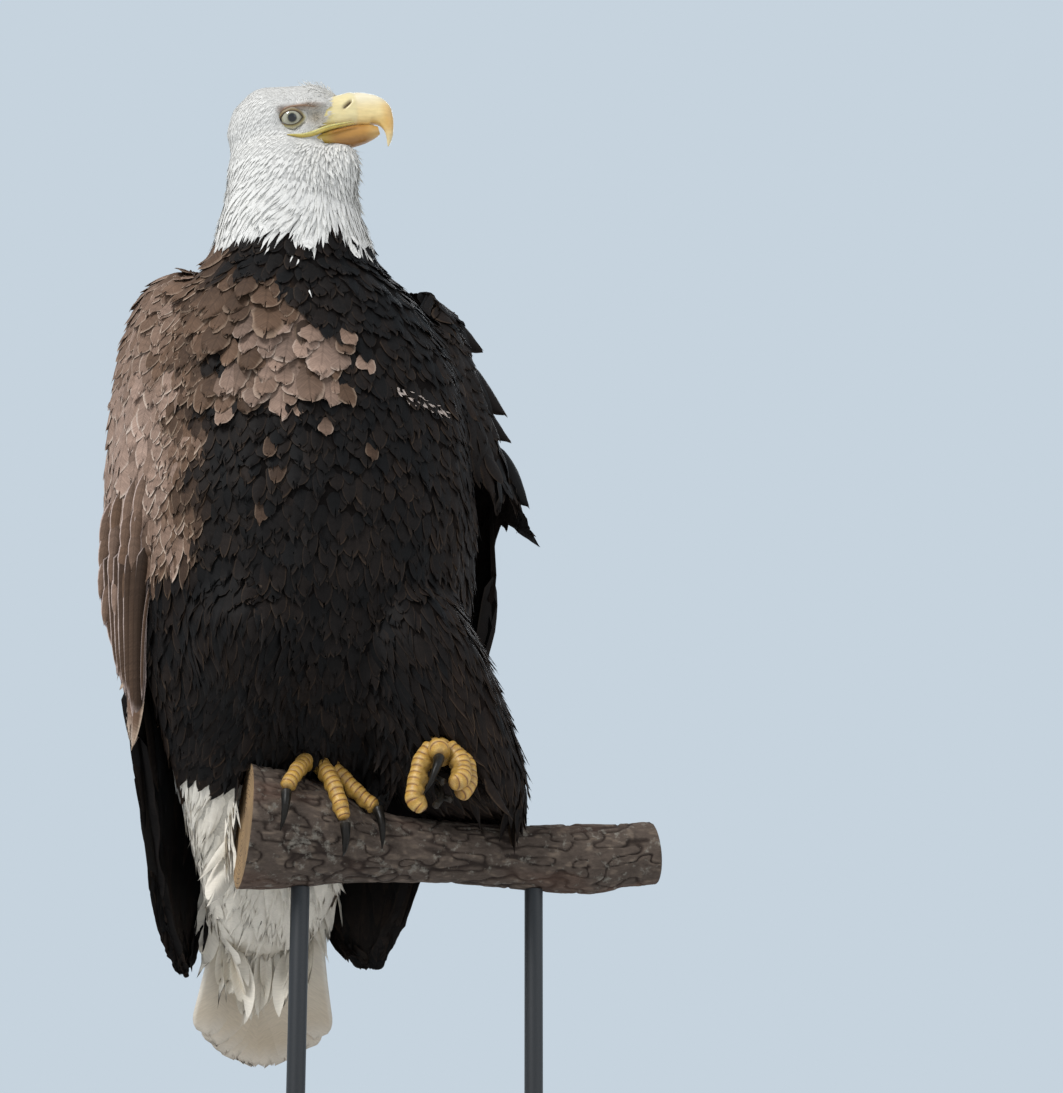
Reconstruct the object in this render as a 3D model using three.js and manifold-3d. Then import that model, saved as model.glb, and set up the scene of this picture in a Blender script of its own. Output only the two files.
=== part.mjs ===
// A life-size bald eagle standing on one leg on a cut length of branch, held by a plain display stand.
// Millimetres, +Z up. The bird faces -Y and its left side is +X. The origin is the middle of the
// stand's underside, on the floor.
import * as THREE from "three";
import { mergeVertices } from "three/addons/utils/BufferGeometryUtils.js";
import Module from "manifold-3d";

const wasm = await Module();
wasm.setup();

// ---------------------------------------------------------------- driving dimensions
const PERCH_HEIGHT = 450; // floor to the bird's own zero level, near the axis of the branch
const PERCH_SHIFT = 95; // how far the middle of the stand lies to the bird's left
const GAP = 0.7; // clearance cut round each solid; about half of it is left at sharp edges
const LEAST = 0.4; // no drawn section is thinner than this
const SLIVER = 0.15; // facets thinner than this are merged after a cut

const EYE = new THREE.Vector3(-33, -60, 656); // middle of the head, between the eyes
const HEAD_YAW = 70; // degrees that the head is turned to the bird's left
const HEAD_PITCH = 10; // degrees that the bill is raised
const HEAD_ROLL = 3; // degrees that the crown leans to the bird's right
const EYE_RADIUS = 11.5;
const EYE_OUT = 18.5; // eye centre from the middle of the head
const EYE_FORWARD = 4;
const SOCKET = { mouth: 15, floor: 9, deep: 16 }; // the funnel in the plumage round each eye

const TOE_RADIUS = 8.2;
const TOE_TAPER = 1.4;
const CLAW_RADIUS = 5.6;
const SHANK_RADIUS = 11.5;
const BRANCH_LEFT = -46;
const BRANCH_RIGHT = 322;

const BASE = { wide: 440, deep: 330, high: 26, corner: 60, edge: 5 };
const ROD_RADIUS = 8;
const ROD_PLACES = [4, 212]; // along the branch, in the bird's frame
const COLLAR = { radius: 24, high: 14, lip: 4, gap: 0.35 };
const STAND_Y = 30; // the stand's middle lies this far behind the bird's own zero

const BIRD_LEFT = new THREE.Vector3(1, 0, 0);
const degrees = THREE.MathUtils.degToRad;
const vector = (x, y, z) => new THREE.Vector3(x, y, z);

// ---------------------------------------------------------------- shaping
// Reshapes a sphere's grid: place(t, angle) says where each point goes, and the poles close the ends.
function shaped(sides, rings, place, ends) {
  const geometry = new THREE.SphereGeometry(1, sides, rings);
  const position = geometry.attributes.position;
  for (let row = 0; row <= rings; row++) {
    const t = THREE.MathUtils.clamp((row - 1) / (rings - 2), 0, 1);
    for (let column = 0; column <= sides; column++) {
      const angle = ((column % sides) / sides) * Math.PI * 2;
      const pole = row === 0 ? ends[0] : row === rings ? ends[1] : null;
      const point = pole ?? place(t, angle);
      position.setXYZ(row * (sides + 1) + column, point.x, point.y, point.z);
    }
  }
  return solid(geometry);
}

// A closed geometry as a manifold solid with its faces pointing out.
function solid(geometry) {
  const bare = geometry.clone();
  bare.deleteAttribute("normal");
  bare.deleteAttribute("uv");
  const merged = mergeVertices(bare, 1e-4);
  const corners = [];
  const index = merged.index.array;
  for (let i = 0; i < index.length; i += 3) {
    const [a, b, c] = index.slice(i, i + 3);
    if (a !== b && b !== c && a !== c) corners.push(a, b, c);
  }
  const make = (triVerts) =>
    new wasm.Manifold(
      new wasm.Mesh({
        numProp: 3,
        vertProperties: new Float32Array(merged.attributes.position.array),
        triVerts: new Uint32Array(triVerts),
      }),
    );
  const made = make(corners);
  return made.volume() > 0 ? made : make(corners.reverse());
}

// A body drawn out along a line. Each station gives its middle, half width, and half depth towards
// the front (or top) and the back (or underside). Level sections stay horizontal; others stand square
// to the line, with `across` as their sideways axis.
function drawn(stations, options = {}) {
  const { sides = 16, rings = 14, across = BIRD_LEFT, level = false, dome = [0, 0] } = options;
  const line = new THREE.CatmullRomCurve3(stations.map((s) => s.at), false, "catmullrom", 0.5);
  const girth = new THREE.CatmullRomCurve3(
    stations.map((s) => vector(s.wide, s.front ?? s.wide, s.back ?? s.front ?? s.wide)),
    false,
    "catmullrom",
    0.5,
  );
  const tangent = (t) => line.getTangent(THREE.MathUtils.clamp(t, 0.001, 0.999));
  const place = (t, angle) => {
    const along = tangent(t);
    const front = level ? vector(0, -1, 0) : along.clone().cross(across).normalize();
    const side = level ? across : front.clone().cross(along).normalize();
    const size = girth.getPoint(t);
    const depth = Math.sin(angle) > 0 ? size.y : size.z;
    return line
      .getPoint(t)
      .addScaledVector(side, Math.max(size.x, LEAST) * Math.cos(angle))
      .addScaledVector(front, Math.max(depth, LEAST) * Math.sin(angle));
  };
  const ends = [
    line.getPoint(0).addScaledVector(tangent(0), -dome[0] - 0.01),
    line.getPoint(1).addScaledVector(tangent(1), dome[1] + 0.01),
  ];
  return shaped(sides, rings, place, ends);
}

// A folded wing's layer: a lens in section, bent round an upright ellipse. Each station gives the
// ellipse's middle, half width and half depth, the angles it runs between (0 is the side of the
// bird and 90 its back) and its thickness.
function wrapped(side, stations, options = {}) {
  const { sides = 14, rings = 12 } = options;
  const smooth = (keys) =>
    new THREE.CatmullRomCurve3(stations.map((s) => vector(...keys.map((k) => s[k]))), false, "catmullrom");
  const middle = smooth(["x", "y", "z"]);
  const size = smooth(["wide", "deep", "thick"]);
  const reach = smooth(["from", "to", "to"]);
  const place = (t, angle) => {
    const centre = middle.getPoint(t);
    const { x: wide, y: deep, z: thick } = size.getPoint(t);
    const { x: from, y: to } = reach.getPoint(t);
    const across = (1 - Math.cos(angle)) / 2;
    const turn = degrees(THREE.MathUtils.lerp(from, to, across));
    const out = vector(Math.cos(turn) / wide, Math.sin(turn) / deep, 0).normalize();
    const point = vector(wide * Math.cos(turn), deep * Math.sin(turn), 0);
    point.addScaledVector(out, (thick / 2) * Math.sin(angle));
    return vector(side * (centre.x + point.x), centre.y + point.y, centre.z);
  };
  const pole = (t) => {
    const [outside, inside] = [place(t, Math.PI / 2), place(t, (Math.PI * 3) / 2)];
    return outside.lerp(inside, 0.5).add(vector(0, 0, 1 - 2 * t));
  };
  return shaped(sides, rings, place, [pole(0), pole(1)]);
}

// A solid as three.js geometry, with normals.
function meshed(body) {
  const mesh = body.getMesh();
  const geometry = new THREE.BufferGeometry();
  geometry.setAttribute("position", new THREE.BufferAttribute(new Float32Array(mesh.vertProperties), 3));
  geometry.setIndex(new THREE.BufferAttribute(new Uint32Array(mesh.triVerts), 1));
  geometry.computeVertexNormals();
  return geometry;
}

// The same solid with its faces moved out by the gap.
function widened(body) {
  const geometry = meshed(body);
  const { position, normal } = geometry.attributes;
  const point = vector(0, 0, 0);
  const out = vector(0, 0, 0);
  for (let i = 0; i < position.count; i++) {
    point.fromBufferAttribute(position, i).addScaledVector(out.fromBufferAttribute(normal, i), GAP);
    position.setXYZ(i, point.x, point.y, point.z);
  }
  return solid(geometry).add(body);
}

const without = (body, ...others) => {
  const cut = others.reduce((left, other) => left.subtract(other), body);
  return cut.decompose().sort((a, b) => b.volume() - a.volume())[0].simplify(SLIVER);
};

// ---------------------------------------------------------------- the head's own frame
// Its x runs forward along the bill, y to the bird's left cheek and z up; the origin is EYE.
const headFrame = new THREE.Matrix4()
  .makeTranslation(EYE)
  .multiply(new THREE.Matrix4().makeRotationZ(degrees(HEAD_YAW - 90)))
  .multiply(new THREE.Matrix4().makeRotationY(degrees(-HEAD_PITCH)))
  .multiply(new THREE.Matrix4().makeRotationX(degrees(HEAD_ROLL)));
const inHead = (forward, left, up) => vector(forward, left, up).applyMatrix4(headFrame);
const headLeft = vector(0, 1, 0).transformDirection(headFrame);

const headStation = (forward, up, wide, above, below) => ({
  at: inHead(forward, 0, up),
  wide,
  front: above,
  back: below,
});

function head() {
  return drawn(
    [
      headStation(-49, -16, 10, 12, 14),
      headStation(-43, -8, 22, 22, 24),
      headStation(-30, 2, 29, 31, 30),
      headStation(-12, 5, 31, 34, 34),
      headStation(6, 4, 29, 34, 34),
      headStation(22, 2, 24, 33, 31),
      headStation(36, 0, 18, 30, 27),
      headStation(47, -1, 12.5, 23, 24),
    ],
    { across: headLeft, sides: 14, rings: 10, dome: [5, 0] },
  );
}

function upperBill() {
  return drawn(
    [
      headStation(36, 5, 14.5, 15, 16),
      headStation(46, 6, 14, 16, 16.5),
      headStation(57, 6, 12.2, 16.2, 16.5),
      headStation(68, 3.5, 10.4, 16, 16),
      headStation(78, -1, 8.4, 14, 13),
      headStation(83.5, -9, 6.4, 8.6, 8),
      headStation(85.5, -18, 4.4, 4.8, 4.6),
      headStation(84.8, -26, 2.8, 3, 2.6),
      headStation(82.5, -33, 0.7, 0.7, 0.7),
    ],
    { across: headLeft, sides: 10, rings: 13 },
  );
}

function lowerBill() {
  return drawn(
    [
      headStation(14, -18, 13.5, 4, 7),
      headStation(34, -18, 12.8, 6, 8.5),
      headStation(50, -18.5, 11.6, 7, 8.5),
      headStation(62, -19, 9.6, 6, 7),
      headStation(71, -19, 7, 4.5, 5),
      headStation(77, -18.5, 3, 2.2, 2.4),
    ],
    { across: headLeft, sides: 10, rings: 8, dome: [0, 1.5] },
  );
}

function eye(side) {
  const ball = new THREE.SphereGeometry(EYE_RADIUS, 10, 7);
  const at = inHead(EYE_FORWARD, side * EYE_OUT, 0);
  return solid(ball.translate(at.x, at.y, at.z));
}

function socket(side) {
  const funnel = new THREE.CylinderGeometry(SOCKET.mouth, SOCKET.floor, SOCKET.deep, 10);
  funnel.rotateZ(side < 0 ? Math.PI : 0).translate(EYE_FORWARD, side * (EYE_OUT + SOCKET.deep / 2 + 3), 0);
  return solid(funnel.applyMatrix4(headFrame));
}

// ---------------------------------------------------------------- neck, trunk and tail
const level = (x, y, z, wide, front, back) => ({ at: vector(x, y, z), wide, front, back });

function neck() {
  return drawn(
    [
      level(-36, -44, 668, 28, 20, 26),
      level(-31, -46, 643, 52, 38, 42),
      level(-30, -46, 618, 58, 48, 49),
      level(-28, -44, 596, 63, 53, 52),
      level(-25, -39, 570, 70, 57, 56),
      level(-21, -33, 540, 80, 60, 64),
      level(-17, -30, 524, 82, 60, 64),
      level(-14, -28, 512, 62, 44, 48),
    ],
    { level: true, sides: 14, rings: 10, dome: [2, 4] },
  );
}

function trunk() {
  return drawn(
    [
      level(-18, -28, 548, 74, 58, 68),
      level(-17, -22, 525, 92, 70, 80),
      level(-9, -16, 490, 122, 92, 92),
      level(-2, -12, 440, 144, 110, 100),
      level(2, -8, 380, 152, 122, 106),
      level(4, 0, 300, 156, 130, 108),
      level(5, 10, 225, 152, 124, 106),
      level(5, 24, 160, 138, 108, 104),
      level(4, 44, 108, 116, 88, 92),
      level(2, 70, 62, 92, 74, 72),
      level(0, 96, 20, 74, 58, 52),
      level(0, 116, -18, 58, 38, 34),
      level(0, 132, -50, 40, 22, 20),
    ],
    { level: true, sides: 18, rings: 14, dome: [4, 12] },
  );
}

function tail() {
  return drawn(
    [
      level(2, 112, 62, 40, 14, 16),
      level(4, 128, 20, 54, 12, 14),
      level(7, 148, -30, 63, 9, 11),
      level(9, 168, -80, 65, 7, 8),
      level(11, 186, -122, 57, 5, 6),
      level(12, 196, -147, 42, 4, 4.5),
    ],
    { sides: 16, rings: 9, dome: [0, 10] },
  );
}

// ---------------------------------------------------------------- wings
const layer = (z, y, wide, deep, from, to, thick, x = 0) => ({ x, y, z, wide, deep, from, to, thick });

function rightFlight() {
  return wrapped(-1, [
    layer(334, 20, 158, 106, 34, 42, 8),
    layer(318, 20, 159, 107, 2, 72, 13),
    layer(270, 24, 162, 110, -4, 78, 16),
    layer(215, 30, 156, 112, -4, 80, 17),
    layer(160, 40, 145, 110, -2, 80, 17),
    layer(115, 50, 131, 104, 0, 78, 16),
    layer(60, 64, 119, 96, 2, 74, 14),
    layer(10, 78, 109, 84, 4, 68, 12),
    layer(-35, 92, 96, 70, 6, 56, 9),
    layer(-66, 104, 84, 56, 12, 42, 6),
    layer(-82, 112, 76, 46, 22, 28, 4),
  ]);
}

function leftFlight() {
  return wrapped(1, [
    layer(349, 20, 178, 104, 34, 42, 8),
    layer(332, 20, 182, 105, 2, 70, 13),
    layer(270, 24, 188, 112, -4, 76, 16),
    layer(215, 32, 186, 114, -4, 78, 17),
    layer(160, 42, 175, 112, -2, 79, 17),
    layer(110, 54, 158, 106, 0, 78, 16),
    layer(60, 68, 143, 96, 2, 75, 14),
    layer(10, 82, 127, 84, 4, 70, 12),
    layer(-30, 94, 116, 68, 5, 58, 9),
    layer(-54, 104, 108, 54, 10, 44, 6),
    layer(-68, 110, 102, 46, 19, 25, 4),
  ]);
}

function rightCoverts() {
  return wrapped(-1, [
    layer(552, 18, 92, 50, 30, 40, 12, 4),
    layer(532, 16, 120, 66, -24, 74, 34, 4),
    layer(500, 14, 144, 80, -36, 78, 40),
    layer(440, 14, 156, 94, -42, 80, 40),
    layer(380, 16, 161, 104, -40, 80, 36),
    layer(320, 20, 164, 110, -34, 80, 32),
    layer(270, 24, 165, 114, -26, 79, 28),
    layer(225, 30, 160, 115, -16, 77, 22),
    layer(195, 36, 152, 113, -6, 70, 14),
    layer(180, 40, 148, 112, 28, 36, 6),
  ]);
}

function leftCoverts() {
  return wrapped(1, [
    layer(542, 18, 94, 50, 30, 40, 12),
    layer(531, 16, 116, 64, -24, 74, 34),
    layer(503, 14, 138, 80, -36, 78, 40),
    layer(460, 14, 158, 92, -42, 80, 40),
    layer(410, 16, 176, 102, -40, 80, 36),
    layer(365, 20, 192, 110, -34, 80, 28),
    layer(330, 24, 208, 114, -24, 79, 18),
    layer(308, 28, 220, 116, -12, 76, 9),
    layer(296, 30, 224, 116, 24, 32, 4),
  ]);
}

// ---------------------------------------------------------------- legs and feet
function rightThigh() {
  return drawn(
    [
      level(-48, -16, 250, 58, 66, 58),
      level(-55, -30, 200, 66, 80, 62),
      level(-50, -30, 156, 58, 68, 58),
      level(-35, -20, 124, 42, 48, 44),
      level(-21, -8, 106, 21, 24, 26),
    ],
    { level: true, sides: 14, rings: 9, dome: [10, 4] },
  );
}

function leftThigh() {
  return drawn(
    [
      level(68, -20, 245, 60, 74, 62),
      level(86, -30, 190, 70, 84, 64),
      level(104, -31, 142, 74, 76, 62),
      level(122, -28, 100, 72, 66, 56),
      level(138, -24, 68, 64, 56, 50),
      level(145, -20, 50, 53, 44, 40),
    ],
    { level: true, sides: 14, rings: 10, dome: [10, 5] },
  );
}

const round = (at, radius) => ({ at, wide: radius, front: radius, back: radius });

function shank(points) {
  return drawn(points.map((p) => round(p, SHANK_RADIUS)), { sides: 8, rings: 5, dome: [2, 2] });
}

// The branch: level in its middle, and swollen and rising at the left, where it left the tree.
const BRANCH = [
  { at: vector(BRANCH_LEFT, 4, 34), wide: 54 },
  { at: vector(-12, 2, 32), wide: 51 },
  { at: vector(22, 0, 28), wide: 44 },
  { at: vector(50, 0, 23.5), wide: 35.5 },
  { at: vector(82, 0, 20.5), wide: 30 },
  { at: vector(135, 0, 20), wide: 28 },
  { at: vector(205, 3, 19), wide: 29 },
  { at: vector(262, 4, 21), wide: 31 },
  { at: vector(292, 3, 25), wide: 28.5 },
  { at: vector(BRANCH_RIGHT, 2, 29), wide: 28 },
];

// The branch's middle and radius at a place along it.
function branchAt(x) {
  const next = Math.max(1, BRANCH.findIndex((s) => s.at.x >= x));
  const [a, b] = [BRANCH[next - 1], BRANCH[next]];
  const share = THREE.MathUtils.clamp((x - a.at.x) / (b.at.x - a.at.x), 0, 1);
  return { at: a.at.clone().lerp(b.at, share), radius: THREE.MathUtils.lerp(a.wide, b.wide, share) };
}

function branch() {
  const place = (t, angle) => {
    const { at, radius } = branchAt(THREE.MathUtils.lerp(BRANCH_LEFT, BRANCH_RIGHT, t));
    const rough = 0.9 * Math.sin(3 * angle + 9 * t) + 0.6 * Math.sin(5 * angle - 23 * t);
    return at.add(vector(0, (radius + rough) * Math.cos(angle), (radius + rough) * Math.sin(angle)));
  };
  const ends = [BRANCH[0].at.clone(), BRANCH.at(-1).at.clone()];
  return shaped(16, 15, place, ends);
}

// A point beside the branch: `turn` is degrees round it, 0 on top and 90 at the front.
function roundBranch(x, turn, out) {
  const { at, radius } = branchAt(x);
  const angle = degrees(turn);
  return at.add(vector(0, -(radius + out) * Math.sin(angle), (radius + out) * Math.cos(angle)));
}

const RIGHT_FOOT = 14; // where it stands along the branch

// The standing foot's toes: where each starts and ends along the branch, the turns it begins and
// ends at, and how high its knuckle arches.
const STANDING_TOES = {
  inner: { starts: 24, ends: 62, turns: [14, 52], arch: 9 },
  middle: { starts: 15, ends: 30, turns: [18, 82], arch: 7 },
  outer: { starts: 6, ends: -22, turns: [14, 66], arch: 8 },
  hind: { starts: 12, ends: 2, turns: [-16, -74], arch: 5 },
};
const TOE_CLEAR = 8.6; // middle of a toe from the bark
const TOE_SHARES = [0, 0.25, 0.5, 0.75, 1];
const CLAW_SHARES = [0, 0.35, 0.7, 1];

function standingToe({ starts, ends, turns, arch }) {
  return TOE_SHARES.map((share) => {
    const x = THREE.MathUtils.lerp(starts, ends, share);
    const turn = THREE.MathUtils.lerp(turns[0], turns[1], share);
    return roundBranch(x, turn, TOE_CLEAR + arch * (1 - share) ** 2);
  });
}

const CLAW_REACH = { inner: 48, middle: 34, outer: 32, hind: 44 }; // degrees of the branch's girth

function standingClaw(name) {
  const { starts, ends, turns } = STANDING_TOES[name];
  const way = Math.sign(turns[1]);
  return CLAW_SHARES.map((share) => {
    const turn = turns[1] + way * (4 + CLAW_REACH[name] * share);
    const x = ends + (ends - starts) * 0.12 * share;
    return roundBranch(x, turn, 10 + 4.5 * Math.sin(Math.PI * share) - 7.5 * share);
  });
}

// The raised foot hangs half closed in front of the belly, its toes curled round.
const path = (...points) => points.map((p) => vector(...p));
const RAISED_TOES = {
  inner: path([96, -86, 92], [88, -88, 80], [80, -92, 62], [78, -95, 44], [88, -97, 37]),
  middle: path([108, -88, 94], [124, -91, 86], [130, -96, 69], [124, -103, 55], [111, -106, 52]),
  outer: path([116, -74, 94], [132, -72, 84], [138, -76, 68], [133, -82, 54], [123, -87, 49]),
  hind: path([103, -86, 86], [101, -94, 91], [102, -104, 89]),
};
const RAISED_CLAWS = {
  inner: path([97, -96, 41], [104, -91, 50], [104, -84, 60], [99, -78, 66]),
  middle: path([102, -104, 55], [96, -98, 63], [96, -89, 71], [101, -82, 75]),
  outer: path([114, -85, 46], [107, -78, 50], [105, -70, 60], [109, -64, 68]),
  hind: path([101, -112, 85], [97, -115, 74], [91, -112, 60], [84, -105, 50]),
};
const RIGHT_SHANK = path([-26, 0, 128], [-8, -6, 110], [RIGHT_FOOT, -10, 94]);
const LEFT_SHANK = path([104, -50, 108], [103, -72, 96], [101, -84, 86]);

function toe(points) {
  const stations = points.map((p, i) => {
    const share = i / (points.length - 1);
    return round(p, TOE_RADIUS - TOE_TAPER * share);
  });
  return drawn(stations, { across: vector(1, 0, 0.02), sides: 7, rings: 8, dome: [3, 3] });
}

function claw(points) {
  const stations = points.map((p, i) => {
    const share = i / (points.length - 1);
    return round(p, CLAW_RADIUS * (1 - share) ** 0.75 + 0.5);
  });
  return drawn(stations, { across: vector(1, 0, 0.02), sides: 6, rings: 6, dome: [1, 0.5] });
}

// ---------------------------------------------------------------- the stand
function standBase() {
  const { wide, deep, high, corner, edge } = BASE;
  const [x, y] = [wide / 2 - edge, deep / 2 - edge];
  const outline = new THREE.Shape()
    .moveTo(-x + corner, -y)
    .lineTo(x - corner, -y)
    .absarc(x - corner, -y + corner, corner, -Math.PI / 2, 0)
    .absarc(x - corner, y - corner, corner, 0, Math.PI / 2)
    .absarc(-x + corner, y - corner, corner, Math.PI / 2, Math.PI)
    .absarc(-x + corner, -y + corner, corner, Math.PI, (Math.PI * 3) / 2);
  const board = new THREE.ExtrudeGeometry(outline, {
    depth: high - edge,
    bevelEnabled: true,
    bevelSize: edge,
    bevelThickness: edge,
    bevelSegments: 2,
    curveSegments: 6,
  });
  // The bevel at the underside is cut away, so that the board rests on a full flat.
  const slab = solid(board.translate(PERCH_SHIFT, STAND_Y, -PERCH_HEIGHT));
  const below = new THREE.BoxGeometry(wide * 2, deep * 2, edge * 4);
  return without(slab, solid(below.translate(PERCH_SHIFT, STAND_Y, -PERCH_HEIGHT - edge * 2)));
}

function standRod(x) {
  const bottom = -PERCH_HEIGHT + BASE.high + COLLAR.gap;
  const top = branchAt(x).at.z;
  const rod = new THREE.CylinderGeometry(ROD_RADIUS, ROD_RADIUS, top - bottom, 20);
  rod.rotateX(Math.PI / 2).translate(x, 1, (top + bottom) / 2);
  return without(solid(rod), widened(branch()));
}

function standCollar(x) {
  const { radius, high, lip, gap } = COLLAR;
  const bore = ROD_RADIUS + gap;
  const profile = [
    [bore, 0],
    [radius, 0],
    [radius, lip],
    [bore + 6, lip + 3],
    [bore + 4, high],
    [bore, high],
    [bore, 0],
  ].map(([r, h]) => new THREE.Vector2(r, h));
  const ring = new THREE.LatheGeometry(profile, 20);
  ring.rotateX(Math.PI / 2).translate(x, 1, -PERCH_HEIGHT + BASE.high + gap);
  return solid(ring);
}

// ---------------------------------------------------------------- materials
const finish = (color, roughness, metalness = 0) =>
  new THREE.MeshStandardMaterial({ color, roughness, metalness });
const FINISHES = {
  white_plumage: finish(0xeeebe4, 0.85),
  brown_plumage: finish(0x352821, 0.8),
  bill_horn: finish(0xe3ae3e, 0.4),
  foot_skin: finish(0xd6a234, 0.55),
  claw_horn: finish(0x1b1a1a, 0.3),
  eye: finish(0xd9d8a8, 0.1),
  bark: finish(0x6b5f55, 0.95),
  stand_metal: finish(0x2a2a2b, 0.45, 0.9),
  stand_wood: finish(0x4a3022, 0.5),
};

// ---------------------------------------------------------------- assembly
const bird = new THREE.Group();
const root = new THREE.Group();
bird.position.set(-PERCH_SHIFT, -STAND_Y, PERCH_HEIGHT);
root.add(bird);

function add(name, body, material) {
  const node = new THREE.Mesh(meshed(body), FINISHES[material]);
  node.name = name;
  bird.add(node);
}

// Each piece is cut back by the ones before it, and keeps the gap to them.
const taken = [];
function fit(name, body, material) {
  const box = body.boundingBox();
  const meets = (t) => [0, 1, 2].every((i) => t.box.min[i] < box.max[i] && t.box.max[i] > box.min[i]);
  const near = taken.filter(meets);
  add(name, without(body, ...near.map((t) => t.wide)), material);
  const wide = widened(body);
  taken.push({ wide, box: wide.boundingBox() });
}

fit("bill_upper", upperBill(), "bill_horn");
fit("bill_lower", lowerBill(), "bill_horn");
fit("eye_right", eye(-1), "eye");
fit("eye_left", eye(1), "eye");
fit("head", without(head(), socket(-1), socket(1)), "white_plumage");
fit("neck", neck(), "white_plumage");
fit("perch_branch", branch(), "bark");

for (const name of Object.keys(STANDING_TOES)) {
  fit("claw_right_" + name, claw(standingClaw(name)), "claw_horn");
}
for (const [name, points] of Object.entries(RAISED_CLAWS)) {
  fit("claw_left_" + name, claw(points), "claw_horn");
}
for (const [name, shape] of Object.entries(STANDING_TOES)) {
  fit("toe_right_" + name, toe(standingToe(shape)), "foot_skin");
}
for (const [name, points] of Object.entries(RAISED_TOES)) {
  fit("toe_left_" + name, toe(points), "foot_skin");
}
fit("shank_right", shank(RIGHT_SHANK), "foot_skin");
fit("shank_left", shank(LEFT_SHANK), "foot_skin");
fit("thigh_right", rightThigh(), "brown_plumage");
fit("thigh_left", leftThigh(), "brown_plumage");
fit("wing_right_coverts", rightCoverts(), "brown_plumage");
fit("wing_left_coverts", leftCoverts(), "brown_plumage");
fit("wing_right_flight", rightFlight(), "brown_plumage");
fit("wing_left_flight", leftFlight(), "brown_plumage");
fit("tail", tail(), "white_plumage");
fit("trunk", trunk(), "brown_plumage");

add("stand_base", standBase(), "stand_wood");
ROD_PLACES.forEach((x, i) => {
  add("stand_rod_" + (i + 1), standRod(x), "stand_metal");
  add("stand_collar_" + (i + 1), standCollar(x), "stand_metal");
});

export default root;
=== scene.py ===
"""Looks for a life-size bald eagle that stands on one leg on a cut branch, on a display stand."""

import math

import bmesh
import bpy
import numpy as np
from mathutils import Matrix, Vector
from mathutils.bvhtree import BVHTree


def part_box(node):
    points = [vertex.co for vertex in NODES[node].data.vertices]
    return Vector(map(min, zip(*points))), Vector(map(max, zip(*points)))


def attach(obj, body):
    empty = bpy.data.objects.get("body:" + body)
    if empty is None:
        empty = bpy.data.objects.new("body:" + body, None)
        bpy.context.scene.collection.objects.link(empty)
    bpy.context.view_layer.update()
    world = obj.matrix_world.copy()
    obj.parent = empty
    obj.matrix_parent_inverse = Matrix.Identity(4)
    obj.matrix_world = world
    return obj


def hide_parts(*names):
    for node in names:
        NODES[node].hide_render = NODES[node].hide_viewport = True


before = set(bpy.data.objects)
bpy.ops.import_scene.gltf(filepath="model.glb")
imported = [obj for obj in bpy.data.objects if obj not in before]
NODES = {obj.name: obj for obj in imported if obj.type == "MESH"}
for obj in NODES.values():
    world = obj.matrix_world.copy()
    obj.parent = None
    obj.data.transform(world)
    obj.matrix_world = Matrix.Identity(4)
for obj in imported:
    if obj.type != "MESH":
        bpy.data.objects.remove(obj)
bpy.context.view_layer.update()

# ---- places
# The bird's own frame is in millimetres from the perch: x to its left, y behind it, z up.
ZERO = np.array((-0.095, -0.030, 0.450))
MM = 0.001
HEAD_MIDDLE = np.array((-33.0, -60.0, 656.0))
HEAD_TURN = (
    Matrix.Rotation(math.radians(-20), 3, "Z")
    @ Matrix.Rotation(math.radians(-10), 3, "Y")
    @ Matrix.Rotation(math.radians(3), 3, "X")
)
HEAD_AXES = np.array(HEAD_TURN)  # columns: along the bill, to the left cheek, up
EYE_RADIUS = 11.5
EYE_PLACE = (2, 18.5, 1)  # forward, out and up from the head's middle
LID_REACH = 10.2  # feathers stay this far from the middle of an eye's gaze
OUTSIDE = 400  # farther out than any part of the bird
SIDE_WORDS = {-1: "right", 1: "left"}


def unit(v):
    v = np.asarray(v, float)
    return v / np.maximum(np.linalg.norm(v, axis=-1, keepdims=True), 1e-9)


def in_head(points):
    """Head places (forward, left, up) as places on the bird."""
    return np.asarray(points, float) @ HEAD_AXES.T + HEAD_MIDDLE


def to_head(points):
    return (np.asarray(points, float) - HEAD_MIDDLE) @ HEAD_AXES


def eye_middle(side):
    return in_head(np.array(EYE_PLACE) * (1, side, 1))


def eye_way(side):
    """Which way an eye looks, in the head's frame."""
    return unit(np.array((0.12, side * 0.96, -0.25)))


def ease(low, high, x):
    """0 below low, 1 above high, smooth between."""
    s = np.clip((np.asarray(x, float) - low) / (high - low), 0, 1)
    return s * s * (3 - 2 * s)


def hill(points, middle, reach):
    """1 at the middle, falling smoothly to nothing; reach is one size or one for each axis."""
    away = (points - np.asarray(middle, float)) / reach
    return np.exp(-0.5 * (away ** 2).sum(-1))


def noise(points, size, seed=0):
    """Smooth lumps of the given size in millimetres, from -1 to 1."""
    p = np.asarray(points, float) / size
    low = np.floor(p).astype(np.int64)
    part = p - low
    part = part * part * (3 - 2 * part)
    total = np.zeros(len(p))
    for corner in range(8):
        step = np.array((corner & 1, corner >> 1 & 1, corner >> 2))
        n = (low + step) @ np.array((374761393, 668265263, 2147483647)) + seed * 974711
        n = (n ^ (n >> 13)) * 1274126177 & 0x7FFFFFFF
        weight = np.where(step, part, 1 - part).prod(1)
        total += weight * ((n ^ (n >> 16)) % 65536 / 32768 - 1)
    return total


# ---- colours and materials
def linear(code):
    """An sRGB hex colour as linear red, green and blue."""
    c = np.array([int(code[i:i + 2], 16) for i in (1, 3, 5)]) / 255
    return np.where(c <= 0.04045, c / 12.92, ((c + 0.055) / 1.055) ** 2.4)


def rgba(code):
    return (*linear(code), 1.0)


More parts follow.
